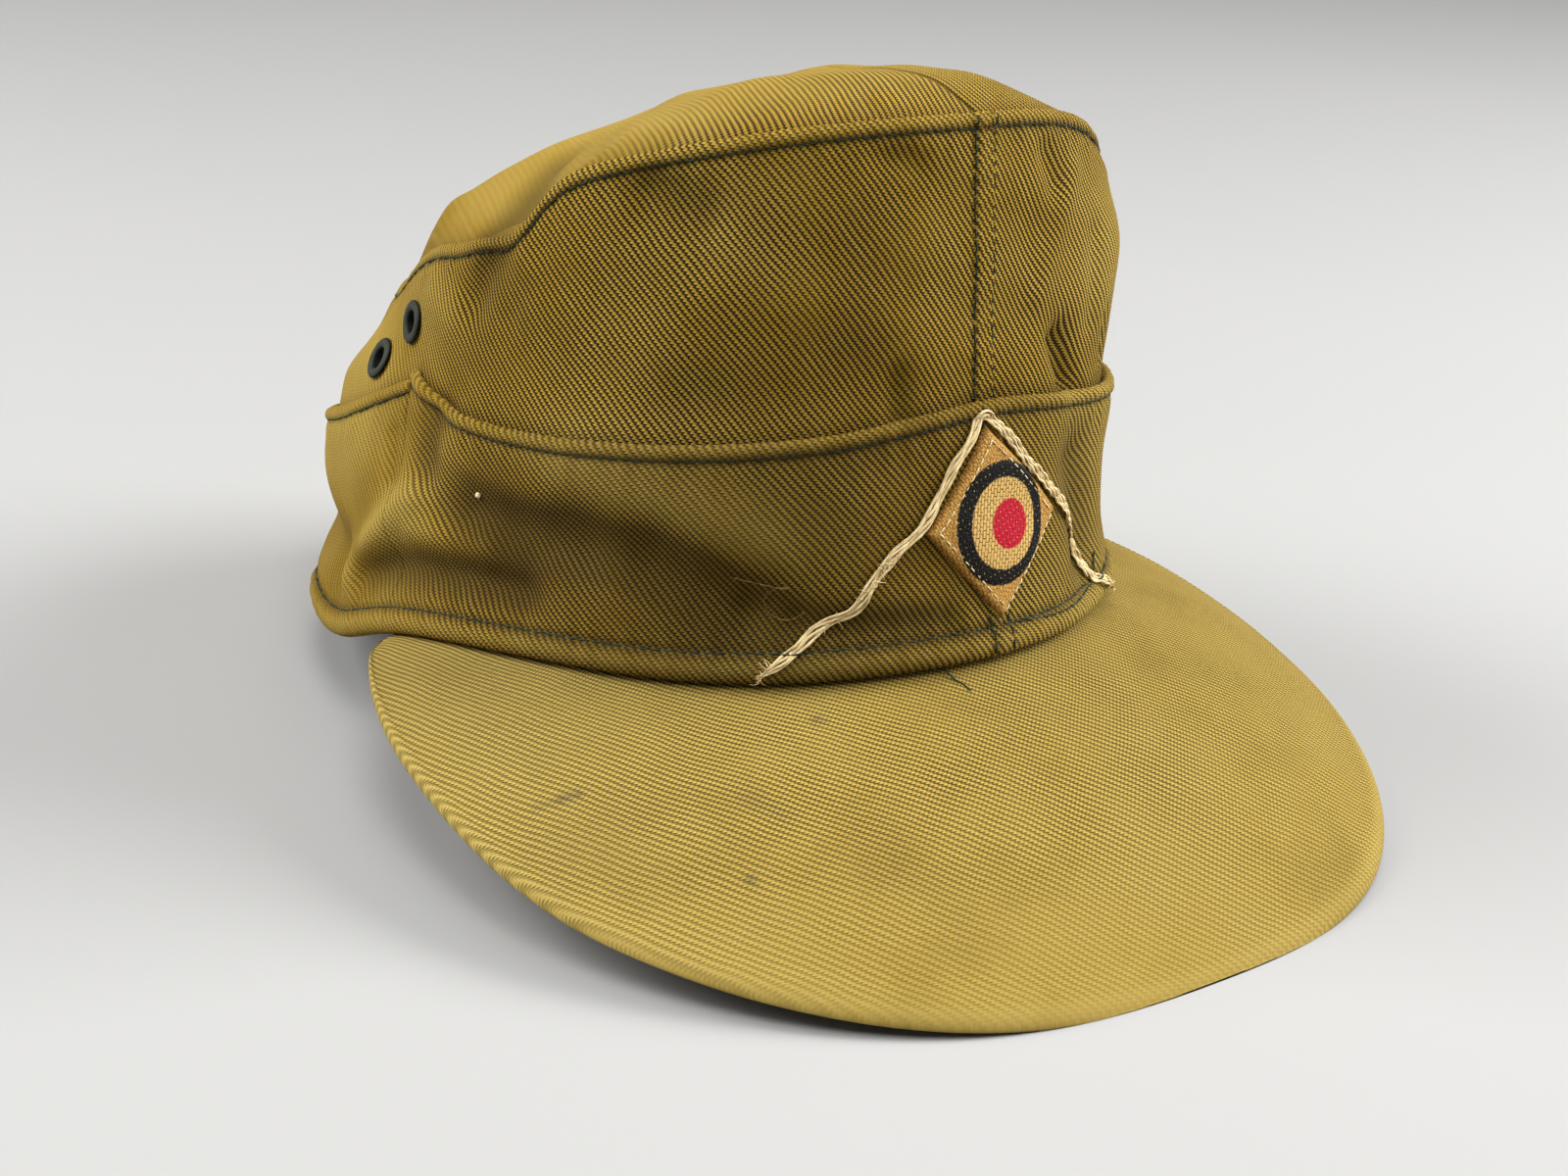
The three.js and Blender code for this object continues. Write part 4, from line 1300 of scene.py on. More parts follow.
        # Painted shade in the groove under the rib, on the wall just above the flap's edge and in the folds'
        # valleys; painted highlights on the folds' ridges, beside real rubbing on the rib.
        painted_shade = self.groove_shade.over(heights - groove) + self.edge_shade.over(heights - flap_height(turn))
        painted_shade = np.clip(painted_shade + self.fold_shade * np.clip(-folds, 0, 1), 0, 1)
        wear_and_highlight = self.rib_wear * np.where(on_rib, np.sin(angle) ** 2, 0) + self.fold_highlight * np.clip(folds, 0, 1)
        crisp = self.plain_crisp + by_turn(self.clear_places, turn) - self.blur.over(side_turn(turn))
        crisp = crisp * np.where(on_rib, self.rib_crisp, 1)
        cloth = weave(-turn * MM_PER_DEGREE, heights, self.twill_angle)
        sheet = Sheet(outer, inner, cloth, wear_and_highlight, painted_shade, crisp, self.eyelets.outside(outer))
        points, faces, marks = sheet.parts()
        hand = side.name.lower()
        nodes = [f"crown_side_{hand}"]
        add_piece(f"crown_wall_{hand}", points, faces, self.finishes.crown, nodes, marks)


@dataclass
class CrownTop:
    """The domed top of the crown: two panels with a plain seam between them."""

    finishes: Finishes
    grid: int = 130
    dome_centre: float = -22.0
    dome_rise: float = 22.0
    dome_power: float = 2.6
    waves: float = 0.8
    edge_tuck: float = 0.6
    edge_tuck_power: int = 40
    seam_groove: Band = Band(0.5, 0.8)
    # Painted shade at the panel's edge under the rib, down the middle seam, in the folds' valleys and in the
    # crease.
    edge_shade: float = 0.5
    edge_shade_power: int = 30
    seam_shade: Band = Band(0.6, 0.7)
    full_fold: float = 12.0
    full_crease: float = 3.0
    crease_shade: float = 0.65
    front: Ramp = Ramp(45, 95)
    # The top is drawn paler toward the middle of its dome and less so at its front: painted light from above,
    # with some fading.
    wear_and_highlight: Ramp = Ramp(0.02, 0.4, 0.35)
    front_less_pale: float = 0.6
    plain_crisp: float = 0.12
    front_crisp: float = 1.1
    twill_angles: tuple[tuple[Side, float], ...] = ((Side.RIGHT, 66.0), (Side.LEFT, 88.0))

    def build(self) -> None:
        """Builds both panels."""
        for side, angle in self.twill_angles:
            self.panel(side, angle)

    def plan(self, turn: Array, reach: Array) -> Array:
        """Points on the straight lines from the middle of the dome to the top seam.

        Args:
            turn: Turns in degrees.
            reach: Shares of the way from the middle to the seam.

        Returns:
            Points in mm, at the seam's height.
        """
        seam = crown_point(turn, seam_height(turn), -WALL_INSET - CLOTH - PANEL_GAP)
        y = self.dome_centre + (seam[..., 1] - self.dome_centre) * reach
        return np.stack([seam[..., 0] * reach, y, seam[..., 2]], -1)

    def folds(self, folds: Sequence[Fold], plan: Array) -> Array:
        """Sum of folds of the top over points in plan.

        Args:
            folds: Folds whose reaches are 0 in the middle of the top and 1 at its seam.
            plan: Points, of which x and y are used.

        Returns:
            Depths in mm, below 0 in a valley.
        """
        total = np.zeros(plan.shape[:-1])
        for fold in folds:
            a = self.plan(np.array(fold.turn_a), np.array(fold.reach_a))
            b = self.plan(np.array(fold.turn_b), np.array(fold.reach_b))
            total += fold.depth * line_bell(plan[..., 0], plan[..., 1], a, b, fold.width)
        return total

    def panel(self, side: Side, angle: float) -> None:
        """One half of the top: half of a square grid drawn out to the oval of the seam, raised by
        1 - reach^power, with its folds and the groove of the seam down its middle.

        Args:
            side: Which half.
            angle: How steeply its twill ribs fall toward the wearer's left, in degrees.
        """
        halves = np.linspace(0, side.value, self.grid // 2)
        u, v = np.meshgrid(halves, np.linspace(-1, 1, self.grid), indexing="ij")
        oval_x = u * np.sqrt(1 - v * v / 2)
        oval_y = v * np.sqrt(1 - u * u / 2)
        reach = np.minimum(np.hypot(oval_x, oval_y), 1)
        plan = self.plan(np.degrees(np.arctan2(oval_x, oval_y)), reach)
        x, y, seam_z = np.moveaxis(plan, -1, 0)
        middle = (TOP_SEAM.columns["height"][0] + TOP_SEAM.columns["height"][-1]) / 2
        dome = 1 - reach**self.dome_power
        creases = self.folds(TOP_CREASES, plan)
        folds = (self.folds(TOP_FOLDS, plan) + creases + unevenness(x, y, self.waves)) * np.sqrt(dome)
        tuck = self.edge_tuck * reach**self.edge_tuck_power + self.seam_groove.over(x)
        z = seam_z * reach + middle * (1 - reach) + self.dome_rise * dome + folds - tuck
        outer = np.stack([x, y, z], -1)
        # Painted shade at the panel's edge under the rib, down the middle seam, in the folds' valleys and in
        # the crease.
        painted_shade = self.edge_shade * reach**self.edge_shade_power + self.seam_shade.over(x)
        painted_shade = painted_shade + np.clip(-folds / self.full_fold, 0, 1)
        painted_shade = painted_shade + self.crease_shade * np.clip(-creases / self.full_crease, 0, 1)
        # Paler toward the middle of the dome and less so at the front: painted light from above, with some
        # fading.
        front = self.front.over(-y)
        wear_and_highlight = self.wear_and_highlight.over(dome) * (1 - self.front_less_pale * front)
        crisp = self.plain_crisp + self.front_crisp * front
        sheet = Sheet(outer, outer - [0, 0, CLOTH], weave(x, -y, angle), wear_and_highlight, np.clip(painted_shade, 0, 1), crisp)
        points, faces, marks = sheet.parts()
        node = f"crown_top_{side.name.lower()}"
        add_piece(f"{node}_panel", points, faces, self.finishes.crown, [node], marks)


@dataclass
class TurnUp:
    """The sewn-down flap: two front pieces and a rear one, each with a rim roll and a folded edge."""

    finishes: Finishes
    front_columns: int = 190
    rear_columns: int = 250
    body_rows: int = 56
    roll_rows: int = 12
    fold_rows: int = 4
    under_sag: float = 0.5
    edge_rise: float = 0.4
    edge_cover: float = 0.9
    inner_margin: float = 0.2
    corner_pinch: Band = Band(0.7, 2.0)
    corner_heights: Ramp = Ramp(26, 42)
    fell_raise: float = 0.4
    fell_groove: Band = Band(0.25, 0.55, FELL_HALF_WIDTH)
    rim_gathers: Pair = (0.15, 5.0)
    edge_gathers: Pair = (0.13, 5.0)
    edge_gathers_from: float = 3.6
    edge_gathers_start: float = 40.0
    twill_angle: float = 50.0
    seam_stretch: Pair = (3.0, 4.0)
    # Painted shade in the grooves above the roll and below the welt, at a place on the front right, and in
    # the folds' valleys, where it is deeper across the front and the wearer's right.
    rim_shade: Band = Band(0.8, 1.1, RIM_ROLL.width)
    edge_shade: Band = Band(0.6, 0.9, EDGE_WELT.width)
    shade_place: Band = Band(0.64, 36, 34)
    full_valley: float = 2.8
    valley_shade: float = 0.3
    deep_shade_start: Ramp = Ramp(-45, -10, 0.9)
    deep_shade_end: Ramp = Ramp(98, 112)
    edge_wear: Band = Band(0.1, 1.4, 1.4)
    # Real rubbing with a painted highlight on the roll's crest, painted light at a place on the left front,
    # and painted highlights on the folds' ridges.
    roll_wear_and_highlight: Band = Band(0.25, 1.6, 2.2)
    lit_place: Band = Band(0.4, 14, -26)
    full_ridge: float = 2.5
    ridge_highlight: float = 0.5
    plain_crisp: float = 1.1
    edge_blur: Band = Band(0.25, 2.6)
    roll_blur: Band = Band(0.15, 2.4, 2.0)
    clear_place: Band = Band(0.35, 16, -26)
    blur: Ramp = Ramp(68, 102, 0.55)

    def build(self) -> None:
        """Builds the three pieces, of which the right one laps over the left at the front seam."""
        lap = np.degrees(FELL_HALF_WIDTH / RIM_HALF_WIDTH)
        right = np.linspace(-lap, FLAP_CORNER, self.front_columns)
        left = np.linspace(-FLAP_CORNER, 0, self.front_columns)
        rear = np.linspace(FLAP_CORNER, 360 - FLAP_CORNER, self.rear_columns)
        self.piece("flap_front_right", right, FLAP_FRONT_EDGE, True)
        self.piece("flap_front_left", left, FLAP_FRONT_EDGE, False)
        self.piece("flap_rear", rear, FLAP_REAR_EDGE, False)

    def rows(self, turn: Array, edge: Array) -> tuple[Array, Array]:
        """Rows of a piece: under the rim, round its roll, up the body, round the welt and over its top.

        Args:
            turn: Turns as a column.
            edge: Height of its upper edge, as a column.

        Returns:
            Heights, and how far each row is folded in, in mm.
        """
        over = np.linspace(0, 1, self.fold_rows + 1)
        arc = (1 - np.cos(np.linspace(0, np.pi, self.roll_rows))) / 2
        level = np.ones(turn.shape)
        under = (RIM_ROLL_FOOT - self.under_sag * np.sin(np.pi * over[:-1])) * level
        roll = (RIM_ROLL_FOOT + (RIM_ROLL.width - RIM_ROLL_FOOT) * arc) * level
        body_top = edge - EDGE_WELT.width
        body = RIM_ROLL.width + (body_top - RIM_ROLL.width) * np.linspace(0, 1, self.body_rows)[1:-1]
        welt = body_top + EDGE_WELT.width * arc
        cap = edge + self.edge_rise * np.sin(np.pi * over[1:])
        heights = np.concatenate([under, roll, body, welt, cap], 1)
        fold_in = np.zeros(heights.shape[1])
        fold_in[:self.fold_rows] = FLAP_CLOTH * (1 - over[:-1])
        fold_in[-self.fold_rows:] = FLAP_CLOTH * self.edge_cover * over[1:]
        return heights, fold_in

    def puff(self, turn: Array, heights: Array, edge: Array, laps: bool) -> Array:
        """How far the skin stands out: roll and welt, a pinch at the corners, the felled seam's strip, and
        the gathers beside both rows of stitches.

        Args:
            turn: Turns as a column.
            heights: Heights of the rows.
            edge: Height of the upper edge.
            laps: Whether the piece laps over its neighbour at the front seam.

        Returns:
            Distances outward in mm.
        """
        along = turn * MM_PER_DEGREE
        pinch = self.corner_pinch.over((side_turn(turn) - FLAP_CORNER) * MM_PER_DEGREE)
        puff = flap_puff(heights, edge) - pinch * self.corner_heights.over(heights)
        if laps:
            across = np.radians(turn) * RIM_HALF_WIDTH
            puff = puff + self.fell_raise * fell_strip(across) - self.fell_groove.over(across)
        puff = puff + pucker(along, heights - RIM_ROLL.width, *self.rim_gathers)
        from_edge = edge - heights - self.edge_gathers_from
        return puff + pucker(along + self.edge_gathers_start, from_edge, *self.edge_gathers)

    def wear_highlight_and_shade(self, turn: Array, heights: Array, edge: Array) -> tuple[Array, Array]:
        """Where the cloth is drawn paler and where darker: painted highlights on the ridges of the folds and
        at a place on the left front, real rubbing on the edge and the roll, whose crest also carries a
        painted highlight, and painted shade in the valleys of the folds, in the grooves of both rows of
        stitches and at a place on the front right.

        Args:
            turn: Turns as a column.
            heights: Heights of the rows.
            edge: Height of the upper edge.

        Returns:
            Shares of rubbing with painted highlights, and of painted shade.
        """
        above_rim, below_edge = self.seam_stretch
        free = smoothstep(heights - RIM_ROLL.width, 0, above_rim) * smoothstep(edge - heights, 0, below_edge)
        folds = (fold_depth(WALL_FOLDS, turn, heights) + fold_depth(WALL_CREASES, turn, heights)) * free
        valley = 1 - np.exp(np.minimum(folds, 0) / self.full_valley)
        # Painted shade in the grooves, the folds' valleys and at a place on the front right; the valleys get
        # extra painted shade across the front and the wearer's right.
        deep_shade = self.deep_shade_start.over(signed_turn(turn)) * (1 - self.deep_shade_end.over(side_turn(turn)))
        painted_shade = self.rim_shade.over(heights) + self.edge_shade.over(edge - heights)
        painted_shade = painted_shade + (self.valley_shade + deep_shade) * valley + self.shade_place.over(signed_turn(turn))
        # Real rubbing on the edge and the roll, whose crest also carries a painted highlight, then painted
        # highlights on the folds' ridges and painted light at a place on the left front.
        wear_and_highlight = self.edge_wear.over(edge - heights) + self.roll_wear_and_highlight.over(heights)
        wear_and_highlight = wear_and_highlight + self.ridge_highlight * np.clip(folds / self.full_ridge, 0, 1)
        return wear_and_highlight + self.lit_place.over(signed_turn(turn)), np.clip(painted_shade, 0, 1)

    def piece(self, node: str, turns: Array, edges: TurnTable, laps: bool) -> None:
        """One piece of the flap.

        Args:
            node: Solid that it stands for.
            turns: Turns of its columns.
            edges: Table of its upper edge.
            laps: Whether it laps over its neighbour at the front seam.
        """
        turn = turns[:, None]
        edge = edges.at("height", side_turn(turn))
        heights, fold_in = self.rows(turn, edge)
        outer = crown_point(turn, heights, self.puff(turn, heights, edge, laps) - fold_in)
        inner_heights = np.clip(heights, RIM_ROLL_FOOT + self.inner_margin, edge - self.inner_margin)
        across = np.radians(signed_turn(turn)) * RIM_HALF_WIDTH
        inner = crown_point(turn, inner_heights, inner_offset(FLAP_CLOTH, across, laps))
        wear_and_highlight, painted_shade = self.wear_highlight_and_shade(turn, heights, edge)
        crisp = self.plain_crisp - self.edge_blur.over(edge - heights) - self.roll_blur.over(heights)
        crisp = crisp + self.clear_place.over(signed_turn(turn))
        crisp = crisp * (1 - self.blur.over(side_turn(turn)))
        cloth = weave(-turn * MM_PER_DEGREE, heights, self.twill_angle)
        points, faces, marks = Sheet(outer, inner, cloth, wear_and_highlight, painted_shade, crisp).parts()
        add_piece(f"{node}_cloth", points, faces, self.finishes.crown, [node], marks)


@dataclass(frozen=True)
class Mark:
    """A mark on the visor's cloth: a line from a to b in plan, its width and its strength."""

    a: Pair
    b: Pair
    width: float
    strength: float


@dataclass
class Visor:
    """The long visor: cloth over a board, crowned across, with a rounded edge."""

    finishes: Finishes
    columns: int = 250
    rows: int = 84
    edge_rows: int = 10
    edge_start: float = 0.975
    edge_turn: float = 0.95
    thickness: float = 3.0
    tuck: float = 3.0
    crowning: float = 5.0
    clearance: float = 1.0
    waves: float = 0.35
    wave_stretch: float = 0.7
    under_waves: float = 0.8
    pad: Band = Band(0.3, 0.02, 0.955)
    twill_angle: float = 47.0
    fan: float = 0.55
    edge_wear: Band = Band(0.4, 0.02, 0.985)
    right_wear: Ramp = Ramp(25, 60, 0.55)
    right_crisp: Ramp = Ramp(25, 60, 0.6)
    # Painted shadow of the rim's roll across the visor's root.
    root_shade: Band = Band(0.3, 0.03, 0.05)
    blur: Band = Band(0.6, 40, 15)
    blur_reach: Ramp = Ramp(0.4, 0.95)
    edge_blur: Band = Band(0.3, 0.03, 1.0)
    marks: tuple[Mark, ...] = (
        Mark((-97.2, -75.0), (-93.5, -77.2), 0.8, 0.35),
        Mark((-93.0, -77.3), (-89.6, -79.1), 0.8, 0.75),
        Mark((-43.9, -94.8), (-43.3, -96.0), 0.7, 0.8),
        Mark((-66.2, -100.6), (-62.7, -107.3), 1.8, 0.22),
        Mark((-75.5, -112.1), (-75.2, -112.7), 0.8, 0.8),
    )

    def root(self, turn: Array) -> Array:
        """Distance from the middle of the rim to the visor's inner edge, which lies under the rim's oval."""
        t = np.radians(turn)
        return 1 / np.hypot(np.sin(t) / RIM_HALF_WIDTH, np.cos(t) / RIM_HALF_LENGTH) - self.tuck

    def plan(self, turn: Array, s: Array) -> Array:
        """Middle of the visor's thickness: straight lines from under the rim to the edge, raised by a sine.

        Args:
            turn: Compass angles from the front.
            s: Share of the way from the rim to the edge.

        Returns:
            Points in mm.
        """
        t = np.radians(turn)
        root = self.root(turn)
        rim_turn = np.degrees(np.arctan2(np.sin(t) / RIM_HALF_WIDTH, np.cos(t) / RIM_HALF_LENGTH))
        root_z = rim_rise(rim_turn) - self.clearance - self.thickness / 2
        reach = VISOR_EDGE.at("reach", np.abs(turn))
        edge_z = -VISOR_EDGE.at("drop", np.abs(turn))
        distance = root + (reach - root) * s
        z = root_z + (edge_z - root_z) * s + self.crowning * np.sin(np.pi * s) * np.cos(t)
        return np.stack([-np.sin(t) * distance, -np.cos(t) * distance, z], -1)

    def top_point(self, x: Array, y: Array) -> Array:
        """Points of the visor's upper skin.

        Args:
            x: Places in plan, toward the wearer's left.
            y: Places in plan, toward the back.

        Returns:
            Points in mm.
        """
        turn = np.degrees(np.arctan2(-x, -y))
        root = self.root(turn)
        s = (np.hypot(x, y) - root) / (VISOR_EDGE.at("reach", np.abs(turn)) - root)
        return self.plan(turn, s) + [0, 0, self.thickness / 2]

    def laid_flat(self, turn: Array, s: Array) -> Array:
        """The visor's cloth laid flat. Each straight line from the rim to the edge keeps its length and the
        angles that it makes with the steps along the rim; adding these up gives its place. The lines fan out
        less than the angles ask for, because damp cloth was stretched over the board.

        Args:
            turn: Compass angles of the lines, rising.
            s: Shares of the way from the rim to the edge.

        Returns:
            Points in the flat, in mm, with a last axis of 2: toward the wearer's left, and up toward the rim.
        """
        root, middle, tip = (self.plan(turn, np.full(len(turn), share)) for share in (0.0, 0.5, 1.0))
        length = np.linalg.norm(middle - root, axis=1) + np.linalg.norm(tip - middle, axis=1)
        ruling = (tip - root) / np.linalg.norm(tip - root, axis=1, keepdims=True)
        step = np.diff(root, axis=0)
        size = np.linalg.norm(step, axis=1)
        before = np.arccos(np.sum(step * ruling[:-1], 1) / size)
        after = np.arccos(np.sum(step * ruling[1:], 1) / size)
        heading = np.concatenate([[0], np.cumsum(after - before)])
        heading = self.fan * (heading - np.interp(0, turn, heading)) - np.pi / 2
        moves = size[:, None] * np.stack([np.cos(heading[:-1] - before), np.sin(heading[:-1] - before)], -1)
        base = np.concatenate([[[0, 0]], np.cumsum(moves, 0)])
        base = base - base[len(base) // 2]
        outward_line = np.stack([np.cos(heading), np.sin(heading)], -1)
        return base[:, None] + (length[:, None] * s)[..., None] * outward_line[:, None]

    def build(self) -> None:
        """Builds the visor, whose thickness is even and then falls as a quarter ellipse at its edge."""
        limit = VISOR_EDGE.turn[-1]
        turn = (limit * np.sin(np.linspace(-1, 1, self.columns)) / np.sin(1))[:, None]
        inner_rows = np.linspace(0, self.edge_start, self.rows - self.edge_rows)
        quarter = np.linspace(0, np.pi / 2 * self.edge_turn, self.edge_rows + 1)[1:]
        s = np.concatenate([inner_rows, self.edge_start + (1 - self.edge_start) * np.sin(quarter)])[None]
        past = np.clip((s - self.edge_start) / (1 - self.edge_start), 0, 1)
        half = self.thickness / 2 * np.sqrt(1 - past**2)
        middle = self.plan(turn, s)
        x, y = np.moveaxis(middle[..., :2], -1, 0) * self.wave_stretch
        wave = unevenness(x, y, self.waves) * np.sqrt(np.sin(np.pi * s))
        up = np.array([0.0, 0.0, 1.0])
        outer = middle + (half + wave + self.pad.over(s))[..., None] * up
        inner = middle - (half - self.under_waves * wave)[..., None] * up
        wear_and_highlight = self.edge_wear.over(s) + self.right_wear.over(turn)
        crisp = 1 - self.blur_reach.over(s) * self.blur.over(turn) - self.edge_blur.over(s)
        crisp = crisp * (1 + self.right_crisp.over(turn))
        flat = self.laid_flat(turn[:, 0], s)
        cloth = weave(flat[..., 0], flat[..., 1], self.twill_angle)
        # Painted shadow of the rim's roll along the visor's root.
        points, faces, marks = Sheet(outer, inner, cloth, wear_and_highlight, self.root_shade.over(s), crisp).parts()
        stain = np.zeros(len(points))
        for mark in self.marks:
            stain += mark.strength * line_bell(points[:, 0], points[:, 1], mark.a, mark.b, mark.width)
        marks["stain"] = np.clip(stain, 0, 1)
        add_piece("visor_cloth", points, faces, self.finishes.visor, ["visor"], marks)


def trim_point(across: Array, height: Array, offset: Array) -> Array:
    """Points of what is sewn on the flap's front: mm across from the seam, standing off its puffed skin."""
    turn = np.degrees(np.asarray(across) / RIM_HALF_WIDTH)
    return crown_point(turn, height, offset + flap_puff(height, flap_height(turn)))


def trim_curve(across: Array, height: Array, offset: Array) -> Curve:
    """Points of what is sewn on the flap's front, and the directions out of the cloth there."""
    points = trim_point(across, height, offset)
    return points, trim_point(across, height, offset + 1) - points


@dataclass
class Cockade:
    """The woven diamond patch with its ring roundel."""

    finishes: Finishes
    half_width: float = 17.3
    bottom: float = 6.9
    top: float = 46.2
    tip_lean: float = 2.4
    thickness: float = 1.2
    edge: float = 0.1
    edge_sink: float = 0.2
    back_sink: float = 0.35
    roundel_raise: float = 0.2
    roundel_edge: Ramp = Ramp(11.6, 12.6)
    # Painted shade toward the edges, where they fold down to the flap.
    edge_shade: Ramp = Ramp(0.93, 1.0, 0.5)
    grid: int = 100

    def place(self, a: Array, b: Array) -> tuple[Array, Array]:
        """Places on the diamond.

        Args:
            a: Shares along one of its sides, from -1 to 1.
            b: Shares along the next side, from -1 to 1.

        Returns:
            Mm across from the seam, and heights.
        """
        half = (self.top - self.bottom) / 2
        rise = (a + b) / 2
        lean = self.tip_lean * np.maximum(rise, 0) ** 2
        return (a - b) / 2 * self.half_width + lean, self.bottom + half * (1 + rise)

    def skin(self, a: Array, b: Array) -> Array:
        """How far the patch stands off the flap: full, falling as a quarter circle at its folded edges."""
        near = np.clip((1 - np.maximum(np.abs(a), np.abs(b))) / self.edge, 0, 1)
        return TRIM_GAP - self.edge_sink + (self.thickness + self.edge_sink) * np.sqrt(1 - (1 - near) ** 2)

    def build(self) -> None:
        """Builds the patch, with its roundel raised a little."""
        spread = np.sin(np.linspace(-np.pi / 2, np.pi / 2, self.grid))
        a, b = np.meshgrid(spread, spread, indexing="ij")
        across, height = self.place(a, b)
        up = height - (self.top + self.bottom) / 2
        roundel = 1 - self.roundel_edge.over(np.hypot(across, up))
        outer = trim_point(across, height, self.skin(a, b) + self.roundel_raise * roundel)
        inner = trim_point(across, height, TRIM_GAP - self.back_sink)
        # Painted shade toward the patch's folded edges.
        painted_shade = self.edge_shade.over(np.maximum(np.abs(a), np.abs(b)))
        badge = np.stack([across, up, np.zeros(up.shape)], -1)
        unmarked = np.zeros(up.shape)
        points, faces, marks = Sheet(outer, inner, badge, unmarked, painted_shade, unmarked).parts()
        marks["badge_mm"] = marks.pop("weave_mm")
        nodes = ["cockade_patch"]
        add_piece("cockade_patch_cloth", points, faces, self.finishes.badge, nodes, marks)


@dataclass(frozen=True)
class Ripple:
    """A sine wave along the braid: its height, its pace in radians per mm and its start."""

    height: float
    pace: float
    start: float = 0.0

    def over(self, run: Array, phase: Array) -> Array:
        """The wave at each distance along, for strands that start at their own phase."""
        return self.height * np.sin(run * self.pace + phase + self.start)


@dataclass
class Soutache:
    """The ivory braid: a flat bundle of strands in an inverted V over the patch, with frayed ends."""

    finishes: Finishes
    width: float = 2.15
    strands: int = 4
    radius: float = 0.31
    lift: float = 0.7
    steps: int = 560
    sides: int = 10
    end_length: float = 6.0
    end_spread: float = 0.2
    end_thinning: float = 0.35
    strand_phase: float = 1.9
    swell: Ripple = Ripple(0.1, 0.57, 0.4)
    wander: Ripple = Ripple(0.2, 0.31)
    nubs: Ripple = Ripple(0.08, 2.3)
    sway: Ripple = Ripple(0.15, 0.62)
    sway_rise: Ripple = Ripple(0.16, 0.62, 1.2)
    chain: Ripple = Ripple(0.12, 2.1)
    chain_rise: Ripple = Ripple(0.12, 2.1, np.pi / 2)
    chain_start: Ramp = Ramp(1, 5)
    fray_seed: int = 7
    frays: int = 40
    fray_places: tuple[float, ...] = (1.0, 3.0, 17.0, 27.0, 33.0)
    fray_from_end: float = 2.0
    fray_spread: float = 1.3
    fray_margin: float = 0.2
    fray_lengths: Pair = (0.8, 2.6)
    fray_bow: float = 0.9
    fray_lift: float = 0.3
    fray_sink: float = 0.5
    fray_radius: float = 0.1
    fray_taper: float = 0.6
    fray_steps: int = 7
    fray_sides: int = 4
    path: tuple[Pair, ...] = (
        (35.1, 0.6), (32.9, 3.1), (30, 5.9), (27.7, 8.9), (25.2, 11), (22.9, 12.7), (21.3, 15.2),
        (19.2, 19.4), (16.8, 22.8), (14.2, 25.9), (11, 30.7), (9.5, 34), (6.8, 39.4), (4.2, 44.7),
        (1.9, 48.5), (-0.5, 46.2), (-4, 41), (-7.6, 35.7), (-11.2, 30.5), (-13.6, 27.4), (-15.8, 25),
        (-18.5, 21), (-21.2, 17), (-23.2, 13.4), (-24.4, 10.6), (-25.4, 7.8), (-26.6, 5.9), (-28.7, 4.6),
        (-31.2, 2.4), (-32.5, 0.8),
    )

    def line(self) -> tuple[Array, Array, Array]:
        """Middle line of the braid over the flap: a smooth curve through the path's turns and heights.

        Returns:
            Mm across, heights, and the distance along.
        """
        knots = np.array(self.path) * [np.radians(1) * RIM_HALF_WIDTH, 1]
        at = np.linspace(0, len(knots) - 1, self.steps)
        i = np.minimum(at.astype(int), len(knots) - 2)
        u = (at - i)[:, None]
        slopes = np.gradient(knots, axis=0)
        ease = u * u * (3 - 2 * u)
        bend = u * (1 - u) * ((1 - u) * slopes[i] - u * slopes[i + 1])
        curve = knots[i] + (knots[i + 1] - knots[i]) * ease + bend
        return curve[:, 0], curve[:, 1], steps_along(curve)

    def build(self) -> None:
        """Builds the braid: round strands side by side that sway past each other in slow sine waves, drawn
        together and thinner at the ends. Past its peak the sway is quicker, like a chain of loops."""
        across, height, run = self.line()
        tangent = np.stack([np.gradient(across), np.gradient(height)], -1)
        tangent /= np.linalg.norm(tangent, axis=1, keepdims=True)
        ends = smoothstep(np.minimum(run, run[-1] - run), 0, self.end_length)
        gathered = self.end_spread + (1 - self.end_spread) * ends
        spread = (self.width - 2 * self.radius) * (1 + self.swell.over(run, 0)) * gathered
        lanes = np.linspace(-0.5, 0.5, self.strands)[:, None]
        phase = self.strand_phase * np.arange(self.strands)[:, None]
        chained = self.chain_start.over(run - run[np.argmax(height)])
        sway = self.sway.over(run, phase) * ends + self.chain.over(run, phase) * chained
        aside = lanes * spread + sway + self.wander.over(run, 0)
        rise = self.lift + self.sway_rise.over(run, phase) + self.chain_rise.over(run, phase) * chained
        paths, normals = trim_curve(across - tangent[:, 1] * aside, height + tangent[:, 0] * aside, rise)
        thinning = self.end_thinning + (1 - self.end_thinning) * ends
        radii = self.radius * thinning * (1 + self.nubs.over(run, phase))
        points, faces = tube_parts(paths, normals, radii, self.sides)
        angle = np.arange(self.sides) * 2 * np.pi / self.sides
        around = 2 * np.sin(angle / 2) + 3 * phase[..., None]
        strand = np.broadcast_arrays(run[None, :, None], around, 0.0)
        marks = {"strand_mm": np.stack(strand, -1).reshape(-1, 3)}
        # Painted shade on the side of each strand that faces the cloth.
        marks["painted_shade"] = np.tile(np.clip(-np.sin(angle), 0, 1), self.strands * self.steps)
        add_piece("soutache_cords", points, faces, self.finishes.braid, ["soutache_braid"], marks)
        self.fray(across, height, run)

